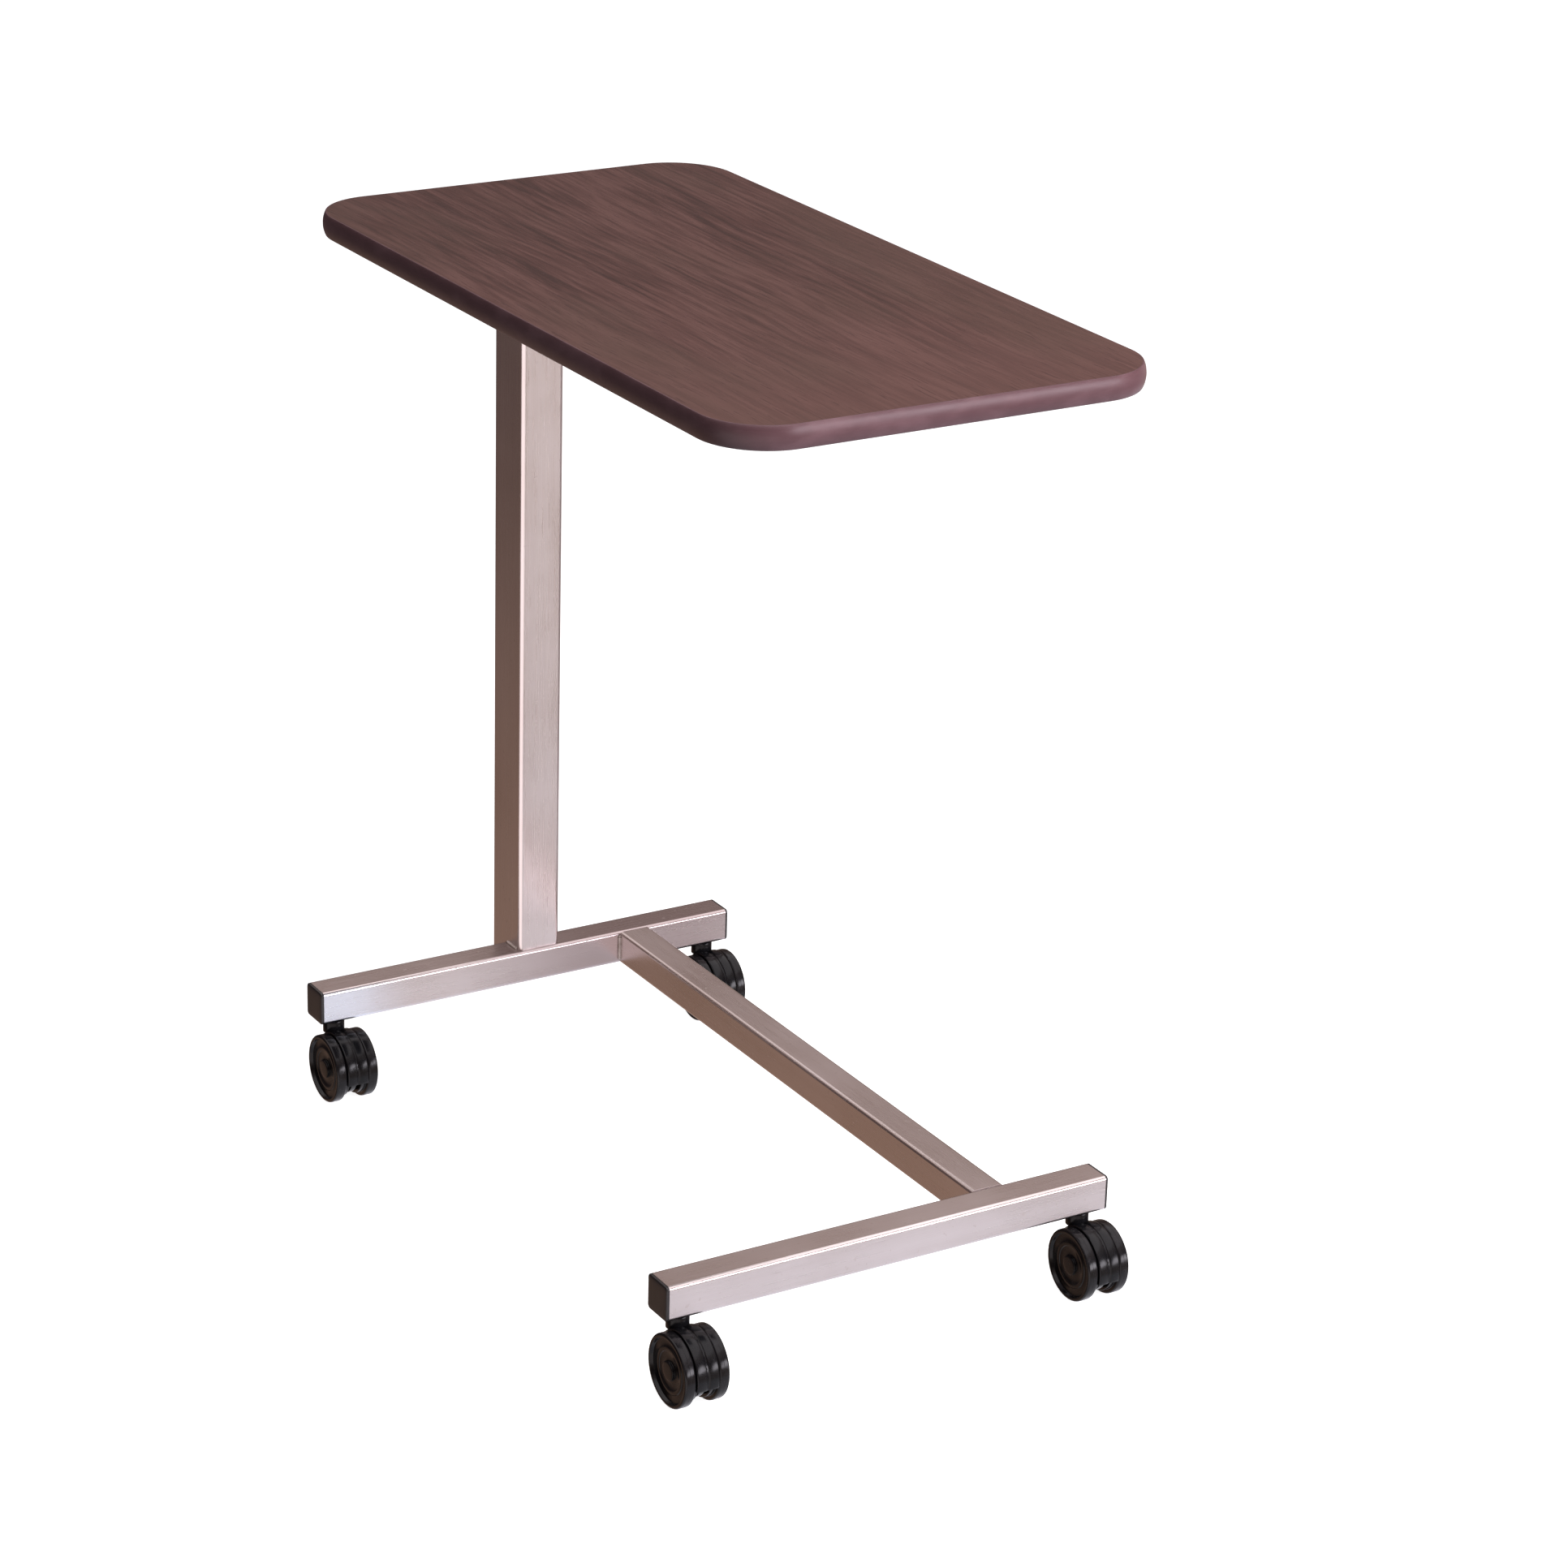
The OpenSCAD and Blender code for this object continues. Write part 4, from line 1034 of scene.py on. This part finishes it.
WALNUT_DARK = (0.024, 0.0096, 0.0084)
WALNUT_MID = (0.050, 0.0210, 0.0183)
WALNUT_LIGHT = (0.084, 0.040, 0.035)
WALNUT_GREY = (0.060, 0.033, 0.026)
# how many go into a metre along the table, across it and up
GRAIN_DRIFT = (1.6, 5, 1)
FIGURE = (1.2, 20, 1)
GRAIN_LINES = (7, 130, 1)
FINE_LINES = (13, 300, 1)
FLECKS, FLECK_EDGE = (22, 210, 1), (0.58, 0.70)
PORES, PORE_EDGE = (30, 480, 1), (0.58, 0.68)
PORED_LINES = (0.35, 0.55)
GREY_PATCHES, PATCH_EDGE = (3.5, 8, 1), (0.44, 0.70)
WIPE_MARKS = (12, 9, 1)
DRIFT_WIDTH = 0.05
# painted light: the top is lightened from x = 0 to 0.38 m, towards the window
PAINTED_LIGHT_ALONG_X = (0.0, 0.38)
PORE_DEPTH = 0.00006


def walnut():
    """Printed walnut: dense short streaks along the length, a faint broad figure, dark pores, and
    painted light towards +X.
    """
    finish = Finish("walnut_laminate", specular_ior_level=0.3)
    drift = finish.cloudy(GRAIN_DRIFT, detail=3)
    sideways = finish.node("ShaderNodeCombineXYZ", None, {1: DRIFT_WIDTH * drift})
    drifted = finish.node(
        "ShaderNodeVectorMath", {"operation": "ADD"}, {0: finish.place, 1: sideways},
    )

    def streaks(scale, detail, rough=0.55):
        sockets = {0: drifted, 1: scale}
        vector = finish.node("ShaderNodeVectorMath", {"operation": "MULTIPLY"}, sockets)
        sockets = {"Vector": vector, "Scale": 1, "Detail": detail, "Roughness": rough}
        return finish.node("ShaderNodeTexNoise", None, sockets)

    figure = streaks(FIGURE, 3)
    lines = streaks(GRAIN_LINES, 4, 0.6)
    fine = streaks(FINE_LINES, 4, 0.6)
    flecks = streaks(FLECKS, 3).between(*FLECK_EDGE)
    pores = streaks(PORES, 2).between(*PORE_EDGE)
    patches = finish.cloudy(GREY_PATCHES, detail=3).between(*PATCH_EDGE)
    tone = 0.22 * figure + 0.43 * lines + 0.35 * fine
    wood = finish.ramp(tone, (0.41, WALNUT_DARK), (0.49, WALNUT_MID), (0.58, WALNUT_LIGHT))
    # painted light: the wood is blended lighter towards +X, the window's end
    along = finish.node("ShaderNodeSeparateXYZ", None, {0: finish.place})
    wood = finish.blend(0.55 * along.between(*PAINTED_LIGHT_ALONG_X), wood, WALNUT_LIGHT)
    wood = finish.blend(0.5 * patches, wood, WALNUT_GREY)
    wood = finish.blend(0.35 * flecks, wood, WALNUT_LIGHT)
    wood = finish.blend(0.6 * pores * lines.between(*PORED_LINES), wood, WALNUT_DARK)
    wiped = finish.cloudy(WIPE_MARKS, detail=4)
    finish.put(base_color=wood, roughness=0.34 + 0.14 * wiped + 0.12 * pores)
    return finish.raised(0.6 * fine - 0.5 * pores + 0.4, PORE_DEPTH, 0.35)


coat("tabletop_core", particle_board())
coat("backing_sheet", backing())
coat("top_laminate", walnut())

# ------------------------------------------------------------------ edge moulding
# One length of dark vinyl, pressed all round with its barb in the board's groove and butted
# at the column's end. Its face is gently round, with a thin lip along each edge.

VINYL = (0.066, 0.031, 0.037)
VINYL_WORN = (0.120, 0.066, 0.076)
DIE_LINES, DIE_LINES_ALONG = 1500, 2
DIE_LINE_DEPTH = 0.00004
HAND_RUBS, HAND_RUB_EDGE = (28, 28, 60), (0.4, 0.8)
MOULDING_CREASE = 28
# the moulding's own sizes are in millimetres
BOARD_RADIUS = 56.5
MOULD_DEPTH = 3.5
BULGE = 2.3
FACE_SHARE = 0.93
FACE_STEPS = 14
CORNER_STEPS = 20
SEAM_GAP = 0.25

mould_low, mould_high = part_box("edge_moulding")
mould_middle = (mould_low + mould_high) / 2
half_height = (mould_high.z - mould_low.z) / 2 / MM
face_radius = (half_height ** 2 + BULGE ** 2) / (2 * BULGE)
# the section: distance out from the board, height from the moulding's middle
upper = [
    (0.0, half_height), (0.75, half_height),
    (1.05, half_height - 0.12), (1.32, half_height - 0.45),
]
face = []
for i in range(1, FACE_STEPS):
    z = half_height * (1 - 2 * i / FACE_STEPS) * FACE_SHARE
    face.append((MOULD_DEPTH - face_radius + math.sqrt(face_radius ** 2 - z ** 2), z))
lower = [(x, -z) for x, z in reversed(upper)]
barb = [
    (0.0, -0.8), (-2.0, -0.8), (-3.0, -1.0), (-3.2, -0.7), (-5.0, -0.7), (-6.0, -0.95),
    (-6.2, -0.7), (-8.2, -0.6), (-8.8, 0.0), (-8.2, 0.6), (-6.2, 0.7), (-6.0, 0.95),
    (-5.0, 0.7), (-3.2, 0.7), (-3.0, 1.0), (-2.0, 0.8), (0.0, 0.8),
]
mould_section = upper + face + lower + barb

board_half_x = (mould_high.x - mould_low.x) / 2 / MM - MOULD_DEPTH
board_half_y = (mould_high.y - mould_low.y) / 2 / MM - MOULD_DEPTH
straight_x, straight_y = board_half_x - BOARD_RADIUS, board_half_y - BOARD_RADIUS
run = [((-board_half_x, SEAM_GAP / 2), math.pi)]
for quarter, (a, b) in enumerate(((-1, 1), (1, 1), (1, -1), (-1, -1))):
    for i in range(CORNER_STEPS + 1):
        turn = math.pi - 0.5 * math.pi * (quarter + i / CORNER_STEPS)
        x = a * straight_x + BOARD_RADIUS * math.cos(turn)
        y = b * straight_y + BOARD_RADIUS * math.sin(turn)
        run.append(((x, y), turn))
run.append(((-board_half_x, -SEAM_GAP / 2), math.pi))

moulding = bmesh.new()
skin(moulding, [
    [
        mould_middle + MM * Vector((x + out * math.cos(turn), y + out * math.sin(turn), z))
        for out, z in mould_section
    ]
    for (x, y), turn in run
])


def vinyl_finish():
    """Extruded vinyl: faint die lines along the strip, and paler rubs where hands lean on it."""
    finish = Finish("edge_vinyl", specular_ior_level=0.36)
    die_lines = finish.cloudy((DIE_LINES_ALONG, DIE_LINES_ALONG, DIE_LINES), detail=1)
    rubs = finish.cloudy(HAND_RUBS, detail=5)
    worn = rubs.between(*HAND_RUB_EDGE) * 0.6 + die_lines * 0.15
    finish.put(
        base_color=finish.blend(worn, VINYL, VINYL_WORN),
        roughness=0.30 + rubs * 0.16 + die_lines * 0.05,
    )
    return finish.raised(die_lines, DIE_LINE_DEPTH, 0.4)


piece(
    "edge_band", moulding, vinyl_finish(), "edge_vinyl", "table", "edge_moulding",
    crease=MOULDING_CREASE,
)
